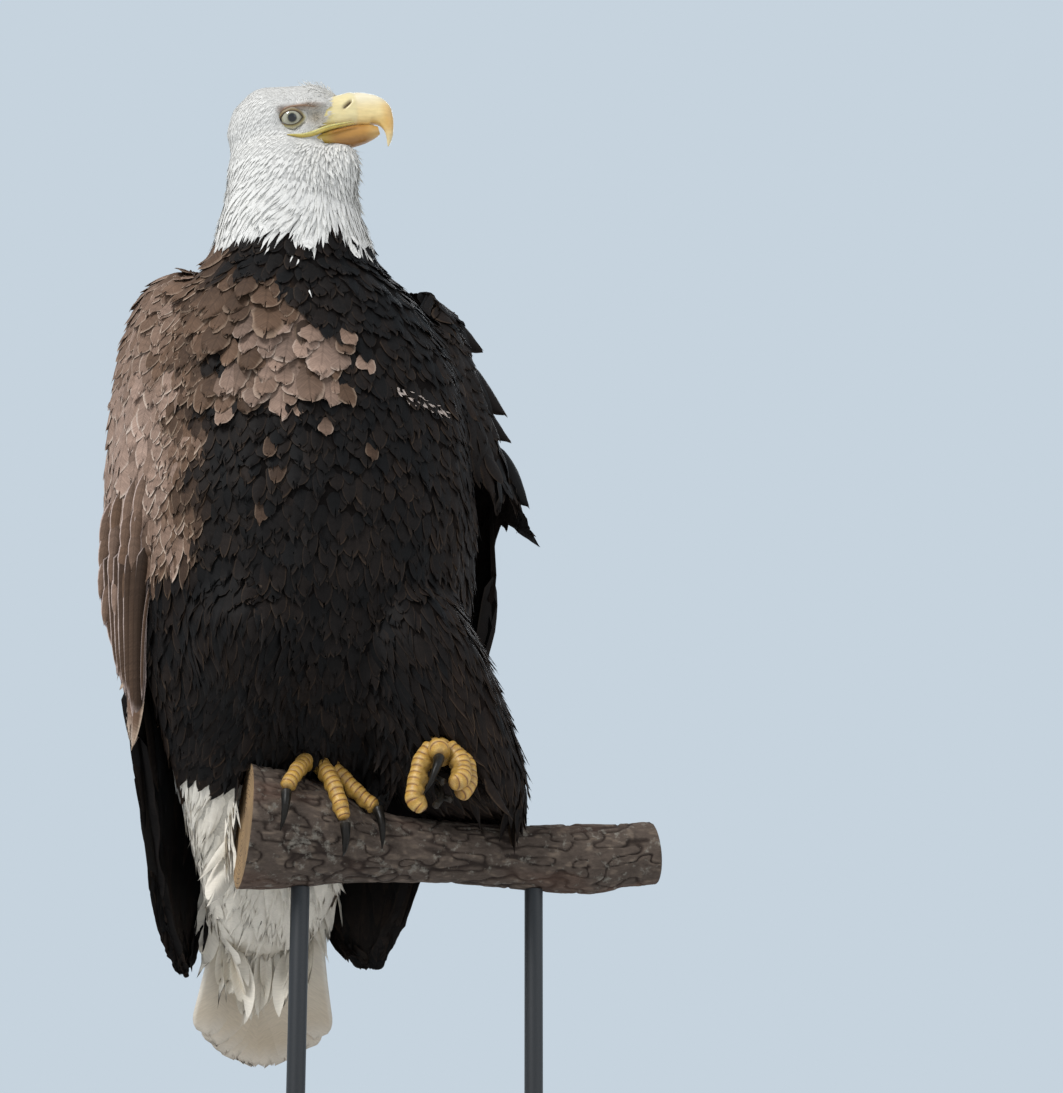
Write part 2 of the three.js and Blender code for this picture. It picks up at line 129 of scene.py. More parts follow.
def add(material, kind, settings=None, **links):
    """One node, with its settings, and its inputs set to values or linked to outputs."""
    node = material.node_tree.nodes.new("ShaderNode" + kind)
    for key, value in (settings or {}).items():
        setattr(node, key, value)
    for key, value in links.items():
        socket = node.inputs[int(key[1:])] if key[1:].isdigit() else node.inputs[key.replace("_", " ")]
        if isinstance(value, bpy.types.NodeSocket):
            material.node_tree.links.new(value, socket)
        else:
            socket.default_value = value
    return node


def new_material(name):
    material = bpy.data.materials.new(name)
    material.use_nodes = True
    material.node_tree.nodes.clear()
    return material


def surface(material, **links):
    shader = add(material, "BsdfPrincipled", **links)
    add(material, "OutputMaterial", Surface=shader.outputs["BSDF"])
    return shader


def ramp(material, value, *stops):
    """A colour ramp read at a value; each stop is (place, colour)."""
    node = add(material, "ValToRGB", Fac=value)
    band = node.color_ramp
    while len(band.elements) < len(stops):
        band.elements.new(0.5)
    for element, (place, colour) in zip(band.elements, stops):
        element.position = place
        element.color = rgba(colour)
    return node.outputs["Color"]


def plumage_material(name, roughness, barb, base, shaft, specular):
    """Feather keratin: matt, finely combed by its barbs, with a paler worn rim.
    Real barbs are 0.3 mm apart; they are drawn in locks of about 2 mm so that they show."""
    m = new_material(name)
    ground = add(m, "Attribute", {"attribute_name": "Plume"}).outputs["Color"]
    rim = add(m, "Attribute", {"attribute_name": "Rim"})
    vane = add(m, "SeparateXYZ", Vector=add(m, "UVMap", {"uv_map": "Vane"}).outputs[0])
    across = add(m, "Math", {"operation": "ABSOLUTE"}, _0=vane.outputs["X"]).outputs[0]
    along = vane.outputs["Y"]
    smooth = {"interpolation_type": "SMOOTHSTEP"}
    edge = add(m, "MapRange", smooth, Value=across, _1=0.72, _2=0.96)
    tip = add(m, "MapRange", smooth, Value=along, _1=0.86, _2=0.98)
    worn = add(m, "Math", {"operation": "MAXIMUM"}, _0=edge.outputs[0], _1=tip.outputs[0]).outputs[0]
    share = add(m, "Math", {"operation": "MULTIPLY"}, _0=worn, _1=rim.outputs["Alpha"]).outputs[0]
    colour = add(m, "Mix", {"data_type": "RGBA"}, _0=share, _6=ground, _7=rim.outputs["Color"]).outputs[2]
    # The barbs slant from the shaft to the tip; this map is in millimetres.
    size = add(m, "SeparateXYZ", Vector=add(m, "UVMap", {"uv_map": "Barbs"}).outputs[0])
    out = add(m, "Math", {"operation": "ABSOLUTE"}, _0=size.outputs["X"]).outputs[0]
    slant = add(m, "Math", {"operation": "MULTIPLY"}, _0=out, _1=-0.8).outputs[0]
    comb = add(m, "Math", {"operation": "ADD"}, _0=size.outputs["Y"], _1=slant).outputs[0]
    where = add(m, "CombineXYZ", X=comb, Y=out)
    squeezed = add(m, "Mapping", Vector=where.outputs[0], Scale=(0.55, 0.12, 1)).outputs[0]
    locks = add(m, "TexNoise", Vector=squeezed, Scale=1.0, Detail=3.0, Roughness=0.6).outputs[0]
    shade = add(m, "MapRange", Value=locks, _1=0.3, _2=0.7, _3=1 - barb, _4=1 + barb * 0.6).outputs[0]
    # The feather is painted darker towards its root, by base: painted shade where the feathers above
    # overlap it.
    root = add(m, "MapRange", Value=along, _1=0.0, _2=0.5, _3=base, _4=1.0).outputs[0]
    quill = add(m, "MapRange", Value=across, _1=0.03, _2=0.09, _3=shaft, _4=1.0).outputs[0]
    both = add(m, "Math", {"operation": "MULTIPLY"}, _0=shade, _1=root).outputs[0]
    both = add(m, "Math", {"operation": "MULTIPLY"}, _0=both, _1=quill).outputs[0]
    shaded = add(m, "VectorMath", {"operation": "SCALE"}, _0=colour, Scale=both).outputs[0]
    bump = add(m, "Bump", Height=locks, Strength=0.35, Distance=0.0006).outputs[0]
    surface(
        m, Base_Color=shaded, Roughness=roughness, Normal=bump, Specular_IOR_Level=specular,
    )
    return m


def skin_material(name):
    """Bare skin and down under the feathers: matt, in the colour of the plumage above it."""
    m = new_material(name)
    ground = add(m, "Attribute", {"attribute_name": "Plume"}).outputs["Color"]
    place = add(m, "TexCoord").outputs["Object"]
    down = add(m, "TexNoise", Vector=place, Scale=320.0, Detail=4.0, Roughness=0.65).outputs[0]
    shade = add(m, "MapRange", Value=down, _1=0.3, _2=0.7, _3=0.6, _4=1.0).outputs[0]
    shaded = add(m, "VectorMath", {"operation": "SCALE"}, _0=ground, Scale=shade).outputs[0]
    bump = add(m, "Bump", Height=down, Strength=0.6, Distance=0.001).outputs[0]
    surface(m, Base_Color=shaded, Roughness=0.95, Normal=bump, Specular_IOR_Level=0.1)
    return m


def horn_material(name, roughness, coat, streak, specular=0.5):
    """Bill and claw horn: smooth layered keratin with a waxy gloss and faint growth streaks."""
    m = new_material(name)
    ground = add(m, "Attribute", {"attribute_name": "Plume"}).outputs["Color"]
    place = add(m, "TexCoord").outputs["Object"]
    turned = add(
        m, "Mapping", {"vector_type": "POINT"}, Vector=place,
        Rotation=(0, 0, math.radians(20)), Scale=(60, 420, 420),
    )
    growth = add(m, "TexNoise", Vector=turned.outputs[0], Scale=1.0, Detail=5.0, Roughness=0.6).outputs[0]
    shade = add(
        m, "MapRange", Value=growth, _1=0.3, _2=0.7, _3=1 - streak, _4=1 + streak * 0.5,
    ).outputs[0]
    shaded = add(m, "VectorMath", {"operation": "SCALE"}, _0=ground, Scale=shade).outputs[0]
    gloss = add(
        m, "MapRange", Value=growth, _1=0.3, _2=0.7, _3=roughness * 1.25, _4=roughness * 0.85,
    ).outputs[0]
    bump = add(m, "Bump", Height=growth, Strength=0.25, Distance=0.0004).outputs[0]
    surface(
        m, Base_Color=shaded, Roughness=gloss, Normal=bump,
        Coat_Weight=coat, Coat_Roughness=0.18, Specular_IOR_Level=specular,
    )
    return m


def foot_material(name):
    """Scaly foot skin: waxy plates with dull, darker skin in the creases between them."""
    m = new_material(name)
    ground = add(m, "Attribute", {"attribute_name": "Plume"}).outputs["Color"]
    place = add(m, "TexCoord").outputs["Object"]
    grain = add(m, "TexVoronoi", {"feature": "DISTANCE_TO_EDGE"}, Vector=place, Scale=620.0)
    grit = add(m, "MapRange", Value=grain.outputs[0], _1=0.0, _2=0.16, _3=0.78, _4=1.0).outputs[0]
    stain = add(m, "TexNoise", Vector=place, Scale=140.0, Detail=4.0).outputs[0]
    dirt = add(m, "MapRange", Value=stain, _1=0.35, _2=0.7, _3=0.82, _4=1.06).outputs[0]
    both = add(m, "Math", {"operation": "MULTIPLY"}, _0=grit, _1=dirt).outputs[0]
    shaded = add(m, "VectorMath", {"operation": "SCALE"}, _0=ground, Scale=both).outputs[0]
    bump = add(m, "Bump", Height=grit, Strength=0.4, Distance=0.0004).outputs[0]
    surface(
        m, Base_Color=shaded, Roughness=0.5, Normal=bump,
        Coat_Weight=0.12, Coat_Roughness=0.3,
    )
    return m


# ---- markings
# Named places of the plumage's colours: skin and feathers read the same functions.
BROWNS = [(0.0, "#111010"), (0.3, "#2c221c"), (0.65, "#715948"), (1.0, "#b3998a")]
BROWN_RIMS = [(0.0, "#28201c"), (0.3, "#66523f"), (0.65, "#c4ad98"), (1.0, "#e2d3c6")]
WHITE = "#f1f0ec"
WHITE_RIM = "#f8f7f5"
TAIL_WHITE = "#ebe4d6"

# Where the plumage is painted lighter, partly for sun-bleached feathers and partly as painted sunlight:
# middle (x, z), half sizes, tilt in degrees and how much.
FADED_AND_SUNLIT = [
    ((-78, 480), (42, 34), 0, 0.56),
    ((-42, 446), (50, 22), -14, 0.86),
    ((-66, 412), (40, 16), -4, 0.84),
    ((-16, 412), (16, 9), 0, 0.78),
]


def brown_at(light, stops):
    places = [s[0] for s in stops]
    colours = np.array([linear(s[1]) for s in stops])
    return np.stack([np.interp(light, places, colours[:, i]) for i in range(3)], -1)


# The lowest white roots in front fall in uneven locks: (x, height).
LOCKS = (
    (-84, 563), (-76, 560), (-70, 569), (-64, 557), (-55, 561), (-48, 572), (-43, 547), (-36, 551),
    (-29, 561), (-21, 552), (-13, 551), (-8, 561), (-4, 571), (2, 575), (9, 571), (17, 565), (27, 561),
    (36, 566), (46, 573), (60, 567),
)


def bib(points):
    """Height of the lowest white roots round the neck; it dips and notches in front."""
    x, y = points[:, 0], points[:, 1]
    front = ease(0, -50, y)
    locks = np.interp(x, *np.transpose(LOCKS))
    return 560 + front * (locks - 560) + (1 - front) * 5 * np.sin(x / 7 + y / 11)


def whiteness(points):
    x, y, z = points.T
    vent = np.minimum(60 + 1.5 * y, 152)
    vent = np.where(y > 95, np.minimum(vent, 96), vent)
    under = (z < vent) & (x > -100) & (x < 100 - 44 * (z > 20))
    return ((z > bib(points)) | under).astype(float)


def lightness(points):
    """0 where the brown is darkest, 1 where it is palest: partly sun-bleached feathers and partly painted
    sunlight.
    """
    x, y, z = points.T
    light = 0.06 + 0.05 * noise(points, 40, 3)
    for (cx, cz), (rx, rz), tilt, much in FADED_AND_SUNLIT:
        a = math.radians(tilt)
        u = ((x - cx) * math.cos(a) + (z - cz) * math.sin(a)) / rx
        v = (-(x - cx) * math.sin(a) + (z - cz) * math.cos(a)) / rz
        spot = ease(1.25, 0.8, np.hypot(u, v)) * (y < -20)
        light = np.maximum(light, spot * much)
    # The right wing's outer side is painted lighter: painted sunlight, with a brighter band across its
    # middle, fading towards its back.
    edge = 34 * ease(30, 90, y) + 30 * ease(470, 530, z)
    wing = ease(-92, -138, x - edge + 12 * noise(points, 26, 8)) * ease(70, 150, z)
    wing *= 0.74 + 0.2 * hill(points[:, 2:], (372,), (45,)) - 0.3 * ease(50, 110, y)
    # Low down, inside its outer edge, the wing's painted light is taken away again: painted shade.
    wing *= 1 - ease(-152, -140, x) * ease(266, 246, z)
    back = ease(20, 70, y) * 0.36 * ease(150, 60, x)
    left = 0.16 * ease(60, 120, x)
    return np.maximum(light, np.maximum(np.maximum(wing, back), left))


def tail_stain(points):
    return ease(-20, -140, points[:, 2] + 6 * noise(points, 14, 5))


def painted_brow_shadow(points):
    """How much painted shadow of the brow, in rust brown, lies on the feathers just over each eye."""
    f, l, u = to_head(points).T
    line = np.interp(f, (-8, 12, 35, 42), (6.8, 8.0, 7.6, 9.0))
    near = np.exp(-(((u - line) / 2.6) ** 2))
    return near * ease(-11, -4, f) * ease(40, 20, f) * ease(9, 14, np.abs(l))


def painted_lore_shade(points):
    """How much painted shade, dusky grey-brown, lies on the thin bristles of the hollow lore between eye
    and bill.
    """
    f, l, u = to_head(points).T
    return hill(np.stack([f, u], -1), (25, -2), (8.5, 7)) * ease(8, 13, np.abs(l))


def ground_colour(points, white):
    white = white[:, None]
    brown = brown_at(lightness(points), BROWNS)
    pale = linear(WHITE) + (linear(TAIL_WHITE) - linear(WHITE)) * ease(160, 60, points[:, 2])[:, None]
    # Painted shadow under each brow, over the white.
    blend(pale, "#a07a5c", 0.7 * painted_brow_shadow(points))
    # Painted shade on the lores, over the white.
    blend(pale, "#a99b80", 0.7 * painted_lore_shade(points))
    return brown + (pale - brown) * white


def blend(colours, code, share):
    """Moves colours towards one by the share of each."""
    colours += (linear(code) - colours) * np.asarray(share, float)[..., None]


def coloured(code, shape, *layers):
    """One colour all over, with each layer's colour blended in by its share, one after another."""
    colours = np.broadcast_to(linear(code), (*shape, 3)).copy()
    for layer, share in layers:
        blend(colours, layer, share)
    return colours


# ---- meshes
def smooth_faces(mesh):
    mesh.polygons.foreach_set("use_smooth", np.ones(len(mesh.polygons), bool))


def piece(name, points, faces, material, colour=None):
    """A new mesh at the origin, from places on the bird in millimetres."""
    mesh = bpy.data.meshes.new(name)
    co = np.asarray(points, float) * MM + ZERO
    if isinstance(faces, np.ndarray):
        sides = faces.shape[1]
        mesh.vertices.add(len(co))
        mesh.vertices.foreach_set("co", co.astype(np.float32).ravel())
        mesh.loops.add(faces.size)
        mesh.loops.foreach_set("vertex_index", faces.astype(np.int32).ravel())
        mesh.polygons.add(len(faces))
        mesh.polygons.foreach_set("loop_start", np.arange(0, faces.size, sides, dtype=np.int32))
        mesh.update(calc_edges=True)
    else:
        mesh.from_pydata(co.tolist(), [], faces)
    mesh.validate()
    smooth_faces(mesh)
    if colour is not None:
        paint(mesh, "Plume", colour)
    mesh.materials.append(material)
    made = bpy.data.objects.new(name, mesh)
    bpy.context.scene.collection.objects.link(made)
    return made


def paint(mesh, name, colour):
    """Writes one colour, or one for each point, into a named attribute."""
    colour = np.broadcast_to(np.asarray(colour, float), (len(mesh.vertices), np.shape(colour)[-1]))
    if colour.shape[1] == 3:
        colour = np.hstack([colour, np.ones((len(colour), 1))])
    layer = mesh.color_attributes.new(name=name, type="FLOAT_COLOR", domain="POINT")
    layer.data.foreach_set("color", np.ascontiguousarray(colour, np.float32).ravel())


def finish(made, slot, *nodes):
    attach(made, "root")
    if nodes:
        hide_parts(*nodes)
    return made


def places(mesh):
    """A mesh's points in the bird's frame."""
    co = np.empty(len(mesh.vertices) * 3, np.float32)
    mesh.vertices.foreach_get("co", co)
    return (co.reshape(-1, 3) - ZERO) / MM


def set_places(mesh, points):
    co = (points * MM + ZERO).astype(np.float32)
    mesh.vertices.foreach_set("co", co.ravel())
    mesh.update()


def normals(mesh):
    n = np.empty(len(mesh.vertices) * 3, np.float32)
    mesh.vertices.foreach_get("normal", n)
    return unit(n.reshape(-1, 3))


def spline(keys, shares):
    """A smooth line through the keys, read at shares of the way."""
    keys = np.asarray(keys, float)
    last = len(keys) - 1
    x = np.clip(shares, 0, 1) * last
    i = np.minimum(x.astype(int), last - 1)
    f = (x - i)[:, None]
    padded = np.vstack([2 * keys[0] - keys[1], keys, 2 * keys[-1] - keys[-2]])
    a, b, c, d = (padded[i + k] for k in range(4))
    bend, twist = 2 * a - 5 * b + 4 * c - d, 3 * b - a - 3 * c + d
    return 0.5 * (2 * b + (c - a) * f + bend * f ** 2 + twist * f ** 3)


def loft(keys, across, sides, rings, power=((1, 1), (1, 1))):
    """A tube's rings along a smooth line. Each key is a place, half width, height above and depth
    below. power squares off the section's upper and lower halves. Returns the grid of points, the
    outward direction at each and the angles round the section."""
    shares = np.linspace(0, 1, rings)
    line = spline(keys, shares)
    middle = line[:, :3]
    run = unit(np.gradient(middle, axis=0))
    up = unit(np.cross(run, across))
    side = unit(np.cross(up, run))
    angle = np.linspace(0, 2 * np.pi, sides, endpoint=False)
    c, s = np.cos(angle), np.sin(angle)
    half = np.where(s >= 0, 0, 1)
    pc = np.array([p[0] for p in power])[half]
    ps = np.array([p[1] for p in power])[half]
    a = np.sign(c) * np.abs(c) ** pc
    b = np.sign(s) * np.abs(s) ** ps
    depth = np.where(s[None, :] >= 0, line[:, 4:5], line[:, 5:6])
    grid = middle[:, None] + side[:, None] * (line[:, 3:4] * a)[..., None]
    grid = grid + up[:, None] * (depth * b)[..., None]
    out = unit(grid - middle[:, None])
    return grid, out, angle


def ring_quads(rings, sides):
    """Quads between the rings of a closed tube's grid."""
    faces = []
    for i in range(0, (rings - 1) * sides, sides):
        for j in range(sides):
            k = (j + 1) % sides
            faces.append((i + j, i + k, i + sides + k, i + sides + j))
    return faces


def tube_faces(rings, sides):
    """A tube's quads, and a fan at each end; the two poles are the last points."""
    faces = ring_quads(rings, sides)
    first, last = rings * sides, rings * sides + 1
    for j in range(sides):
        k = (j + 1) % sides
        faces.append((first, k, j))
        faces.append((last, (rings - 1) * sides + j, (rings - 1) * sides + k))
    return faces


def tube_points(grid, ends=(0.0, 0.0)):
    """The grid's points and its two poles, pushed out by the given sizes."""
    middles = grid.mean(1)
    start = middles[0] + unit(middles[0] - middles[1]) * ends[0]
    stop = middles[-1] + unit(middles[-1] - middles[-2]) * ends[1]
    return np.vstack([grid.reshape(-1, 3), start, stop])


def capped(points, grid):
    """The points, and the middles of a grid's first and last rings."""
    return np.vstack([points, grid[0].mean(0), grid[-1].mean(0)])


def with_ends(colour):
    """A tube's colours, and those of its two poles."""
    return np.vstack([colour, colour[:1], colour[-1:]])


def cells(rows, cols):
    """The first corner of each cell of a grid of points."""
    r, c = np.meshgrid(np.arange(rows - 1), np.arange(cols - 1), indexing="ij")
    return (r * cols + c).ravel()


def lay_maps(mesh, faces, patch, vane, size):
    """A feather mesh's maps: its place for baking, its vane, and its barbs in millimetres."""
    corner = faces.ravel()
    for layer, values in (("OFBake", patch), ("Vane", vane), ("Barbs", size)):
        flat = values[corner].astype(np.float32).ravel()
        mesh.uv_layers.new(name=layer).uv.foreach_set("vector", flat)


def face_outwards(made):
    """Turns a closed mesh's faces outwards."""
    work = bmesh.new()
    work.from_mesh(made.data)
    bmesh.ops.recalc_face_normals(work, faces=work.faces)
    if work.calc_volume(signed=True) < 0:
        bmesh.ops.reverse_faces(work, faces=work.faces)
    work.to_mesh(made.data)
    work.free()
    return made


def pick(*chosen):
    """Selects only these objects and makes the first one active."""
    bpy.ops.object.select_all(action="DESELECT")
    for made in chosen:
        made.select_set(True)
    bpy.context.view_layer.objects.active = chosen[0]


def apply_modifiers(made):
    pick(made)
    for modifier in list(made.modifiers):
        bpy.ops.object.modifier_apply(modifier=modifier.name)
    made.select_set(False)


def remeshed(made, cell, rounds):
    """Makes the object one closed surface of even cells, and smooths it."""
    remesh = made.modifiers.new("one", "REMESH")
    remesh.mode = "VOXEL"
    remesh.voxel_size = cell
    smooth = made.modifiers.new("soften", "SMOOTH")
    smooth.factor = 0.5
    smooth.iterations = rounds
    apply_modifiers(made)


# ---- the one skin
FLESH = [
    "head", "neck", "trunk", "thigh_right", "thigh_left",
    "wing_right_coverts", "wing_left_coverts", "wing_right_flight", "wing_left_flight",
]
SKIN_CELL = 0.0040  # metres, as the two below
WING_CELL = 0.0035
SKIN_SWELL = 0.0011
WINGS = [FLESH.index(n) for n in FLESH if n.startswith("wing")]


def node_labels(points):
    """Which flesh node's surface is nearest to each place."""
    corners, faces, owner = [], [], []
    for index, name in enumerate(FLESH):
        mesh = NODES[name].data
        start = len(corners)
        corners.extend(places(mesh).tolist())
        for f in mesh.polygons:
            faces.append([start + v for v in f.vertices])
            owner.append(index)
    tree = BVHTree.FromPolygons(corners, faces)
    return np.array([owner[tree.find_nearest(p)[2]] for p in points.tolist()])


def copied(name, swell):
    """A copy of a CAD node as one closed mesh, its faces moved out by swell metres."""
    made = NODES[name].copy()
    made.data = NODES[name].data.copy()
    for key in list(made.keys()):
        del made[key]
    made.parent = None
    made.name = "copy_" + name
    bpy.context.scene.collection.objects.link(made)
    work = bmesh.new()
    work.from_mesh(made.data)
    bmesh.ops.remove_doubles(work, verts=work.verts, dist=1e-6)
    work.normal_update()
    for v in work.verts:
        v.co += v.normal * swell
    work.to_mesh(made.data)
    work.free()
    return made


def joined(objects, name):
    pick(*objects)
    bpy.ops.object.join()
    made = bpy.context.view_layer.objects.active
    made.name = name
    made.data.name = name
    made.select_set(False)
    return made


def coat_depth(points):
    """How far the skin lies under the plumage's outline, in millimetres."""
    head = hill(points, in_head((0, 0, 0)), (60, 60, 50))
    low = ease(-20, -90, points[:, 2])
    depth = 5.5 - 3.7 * ease(0.15, 0.6, head) - 2.6 * low
    return np.maximum(depth, 1.6)


# The feathering meets the bill on a line that slants back and down: (up, forward) in the head.
BILL_LINE = ((-24, 16), (-16, 21), (-11, 26.7), (1, 39.5), (16, 46.5), (24, 46))


def bill_line(up):
    keys = np.array(BILL_LINE, float)
    return np.interp(up, keys[:, 0], keys[:, 1])


def tuck(points):
    """Draws the left wing's flight feathers in against the body."""
    x, y, z = points.T
    move = 13 * ease(345, 200, z) * ease(-40, 90, z) * ease(140, 188, x) * ease(0, 15, y)
    return points - np.array((1, 0, 0)) * move[:, None]


def left_hem(x):
    """How low the left wing's coverts reach."""
    return np.interp(x, (150, 178, 222), (290, 340, 308))


def shape_face(points, out):
    """Moves the skin for the crown, eye sockets, brow shelf, hollow lore, cheek and bill base."""
    head = to_head(points)
    f, l, u = head.T
    side = np.abs(l)
    flat = head * (1, 0, 1)
    moved = 5.0 * hill(head, (-27, 0, 34), (15, 22, 12)) + 2.5 * hill(head, (27, 0, 31), (9, 13, 9))
    ridge = 9.8 - 0.05 * f + 0.1 * np.maximum(f - 30, 0)
    brow = np.exp(-(((u - ridge) / 2.9) ** 2)) * ease(-16, -3, f) * ease(42, 30, f) * ease(8, 18, side)
    moved += 4.0 * brow
    moved -= 2.8 * hill(flat, (22, 0, 0.5), (8, 1, 5.0)) * ease(8, 14, side)
    moved += 1.6 * hill(flat, (-8, 0, -25), (14, 1, 7)) * ease(8, 14, side)
    moved += 3.0 * hill(head, (36, 0, -44), (12, 16, 16))
    moved += 11 * hill(head, (46, 0, -36), (12, 9, 9)) + 4 * hill(head, (46, 0, -52), (12, 12, 10))
    base = ease(-0.5, 2.5, f - bill_line(u)) * ease(-18, -15, u)
    moved -= 4.0 * base
    moved -= 1.8 * hill(flat, (26, 0, -21), (7, 1, 4.5)) * ease(8, 14, side)
    points = points + out * moved[:, None]
    # Nothing of the skin lies in front of an eyeball.
    for s in (-1, 1):
        middle = eye_middle(s)
        way = HEAD_AXES @ eye_way(s)
        away = points - middle
        reach = np.linalg.norm(away, axis=1)
        front = (away @ way) / np.maximum(reach, 1e-6)
        sink = ease(0.45, 0.75, front) * ease(19, 13.5, reach)
        target = middle + unit(away) * (EYE_RADIUS - 1.5)
        points = points + (target - points) * sink[:, None]
    return points


def make_skin():
    # The pieces are swollen past their small gaps, so that the remesh makes them one.
    skin = joined([copied(n, SKIN_SWELL) for n in FLESH], "skin")
    remeshed(skin, SKIN_CELL, 9)
    mesh = skin.data
    p, n = places(mesh), normals(mesh)
    p = tuck(p - n * coat_depth(p)[:, None])
    # The left wing's coverts end on a line that drops outwards to one point in front. Behind it
    # they draw in to the flight feathers.
    x, y, z = p.T.copy()
    drawn = ease(76, 6, z - left_hem(x)) * ease(28, 50, y) * (z > 280)
    x -= np.maximum(x - 184, 0) * drawn * 0.9
    low = left_hem(x) + 6 + 0.3 * np.maximum(y - 24, 0)
    front = ease(187, 196, x) + ease(170, 180, x) * ease(40, 26, y)
    z += np.maximum(low - z, 0) * np.minimum(front, 1) * (z > 280)
    # The shoulder is full between the neck and the wing.
    p = np.stack([x, y, z], -1)
    p[:, 2] += 15 * hill(p, (88, -2, 522), (22, 34, 20))
    # Below it the left wing draws in a little, so that single feathers hook out of its outline.
    p[:, 0] -= 10 * ease(112, 150, p[:, 0]) * hill(p[:, 2:], (445,), (62,))
    set_places(mesh, p)
    # The face is divided once more for its folds.
    work = bmesh.new()
    work.from_mesh(mesh)
    scale = np.array([v.co for v in work.verts])
    near = to_head((scale - ZERO) / MM)
    inside = (np.abs(near[:, 0] - 12) < 36) & (np.abs(near[:, 2]) < 30)
    chosen = [e for e in work.edges if inside[e.verts[0].index] and inside[e.verts[1].index]]
    bmesh.ops.subdivide_edges(work, edges=chosen, cuts=1, use_grid_fill=True)
    work.to_mesh(mesh)
    work.free()
    mesh.update()
    p, n = places(mesh), normals(mesh)
    set_places(mesh, shape_face(p, n))
    smooth_faces(mesh)
    for other in list(mesh.uv_layers):
        mesh.uv_layers.remove(other)
    # Under each edge of the white, the skin is white a little farther than the roots are.
    p = places(mesh)
    past = np.array((0, 0, 4.0))
    white = np.maximum(whiteness(p + past * (p[:, 2:] > 400)), whiteness(p - past * (p[:, 2:] < 400)))
    white[np.isin(node_labels(p), WINGS)] = 0
    shade = 0.9 - 0.2 * (1 - white)
    paint(mesh, "Plume", ground_colour(p, white) * shade[:, None])
    mesh.materials.clear()
    mesh.materials.append(skin_material("skin_and_down"))
    pick(skin)
    bpy.ops.object.mode_set(mode="EDIT")
    bpy.ops.mesh.select_all(action="SELECT")
    bpy.ops.uv.smart_project(angle_limit=math.radians(66), island_margin=0.002)
    bpy.ops.object.mode_set(mode="OBJECT")
    mesh.uv_layers[0].name = "OFBake"
    return finish(skin, "brown_plumage", *FLESH[:7])


skin = make_skin()
skin_places = places(skin.data)
skin_normals = normals(skin.data)
skin_faces = [tuple(f.vertices) for f in skin.data.polygons]
TREE = BVHTree.FromPolygons(skin_places.tolist(), skin_faces)
face_middle = np.array([skin_places[list(f)].mean(0) for f in skin_faces])
face_normal = unit(np.array([skin_normals[list(f)].mean(0) for f in skin_faces]))
face_area = np.empty(len(skin_faces))
skin.data.polygons.foreach_get("area", face_area)
face_area /= MM ** 2
loop_uv = np.empty(len(skin.data.loops) * 2, np.float32)
skin.data.uv_layers["OFBake"].uv.foreach_get("vector", loop_uv)
loop_uv = loop_uv.reshape(-1, 2)
face_loops = [slice(f.loop_start, f.loop_start + f.loop_total) for f in skin.data.polygons]
face_uv = np.array([loop_uv[span].mean(0) for span in face_loops])


def snap(points, over=None):
    """The nearest skin, or other surface, to each point: place, outward direction and face."""
    tree, ups = over or (TREE, face_normal)
    found = np.empty((len(points), 3))
    face = np.empty(len(points), int)
    for i, p in enumerate(points.tolist()):
        hit, _, index, _ = tree.find_nearest(p)
        found[i] = hit
        face[i] = index
    return found, ups[face], face


def sprinkle(chosen, spacing, seed, on=None):
    """Places on the chosen faces, scattered so that no two are nearer than the spacing."""
    rng = np.random.default_rng(seed)
    middles, ups, areas = on or (face_middle, face_normal, face_area)
    area = np.where(chosen, areas, 0)
    tries = int(area.sum() / spacing ** 2 * 6)
    pick = rng.choice(len(area), tries, p=area / area.sum())
    jitter = rng.normal(0, 0.9, (tries, 3))
    spots = middles[pick] + jitter - ups[pick] * (jitter * ups[pick]).sum(1)[:, None]
    taken, kept = {}, []
    cells = np.floor(spots / spacing).astype(int)
    near = [(a, b, c) for a in (-1, 0, 1) for b in (-1, 0, 1) for c in (-1, 0, 1)]
    limit = spacing ** 2
    for i, (cell, p) in enumerate(zip(cells.tolist(), spots.tolist())):
        x, y, z = cell
        others = (q for a, b, c in near for q in taken.get((x + a, y + b, z + c), ()))
        if all((p[0] - q[0]) ** 2 + (p[1] - q[1]) ** 2 + (p[2] - q[2]) ** 2 >= limit for q in others):
            taken.setdefault(tuple(cell), []).append(p)
            kept.append(i)
    return spots[kept]


# ---- the lie of the plumage
# Guides: a place, how far it reaches and the way the feathers point there. The head's are in its
# own frame.
HEAD_GUIDES = [
    ((40, 0, 26), 14, (-1.0, 0, 0.35)),
    ((6, 0, 38), 22, (-1.0, 0, 0.0)),
    ((-44, 0, 8), 18, (-0.6, 0, -0.8)),
    ((24, -18, 0), 12, (-1.0, -0.2, -0.1)),
    ((24, 18, 0), 12, (-1.0, 0.2, -0.1)),
    ((0, -28, -16), 18, (-0.85, 0, -0.6)),
    ((0, 28, -16), 18, (-0.85, 0, -0.6)),
    ((44, 0, -28), 12, (-0.5, 0, -0.9)),
]
BODY_GUIDES = [
    ((-68, -85, 590), 26, (-0.85, 0, -0.5)),
    ((-84, -60, 556), 26, (-0.5, 0, -0.85)),
    ((30, -60, 590), 30, (0.4, -0.1, -0.9)),
    ((-150, -40, 480), 50, (-0.1, 0.35, -0.95)),
    ((170, -20, 420), 60, (0.35, 0.1, -0.95)),
    ((165, -40, 90), 60, (0.45, -0.1, -0.9)),
]
GUIDES = [(in_head(place), reach, HEAD_AXES @ pull) for place, reach, pull in HEAD_GUIDES]
GUIDES += [(np.array(place), reach, np.array(pull)) for place, reach, pull in BODY_GUIDES]


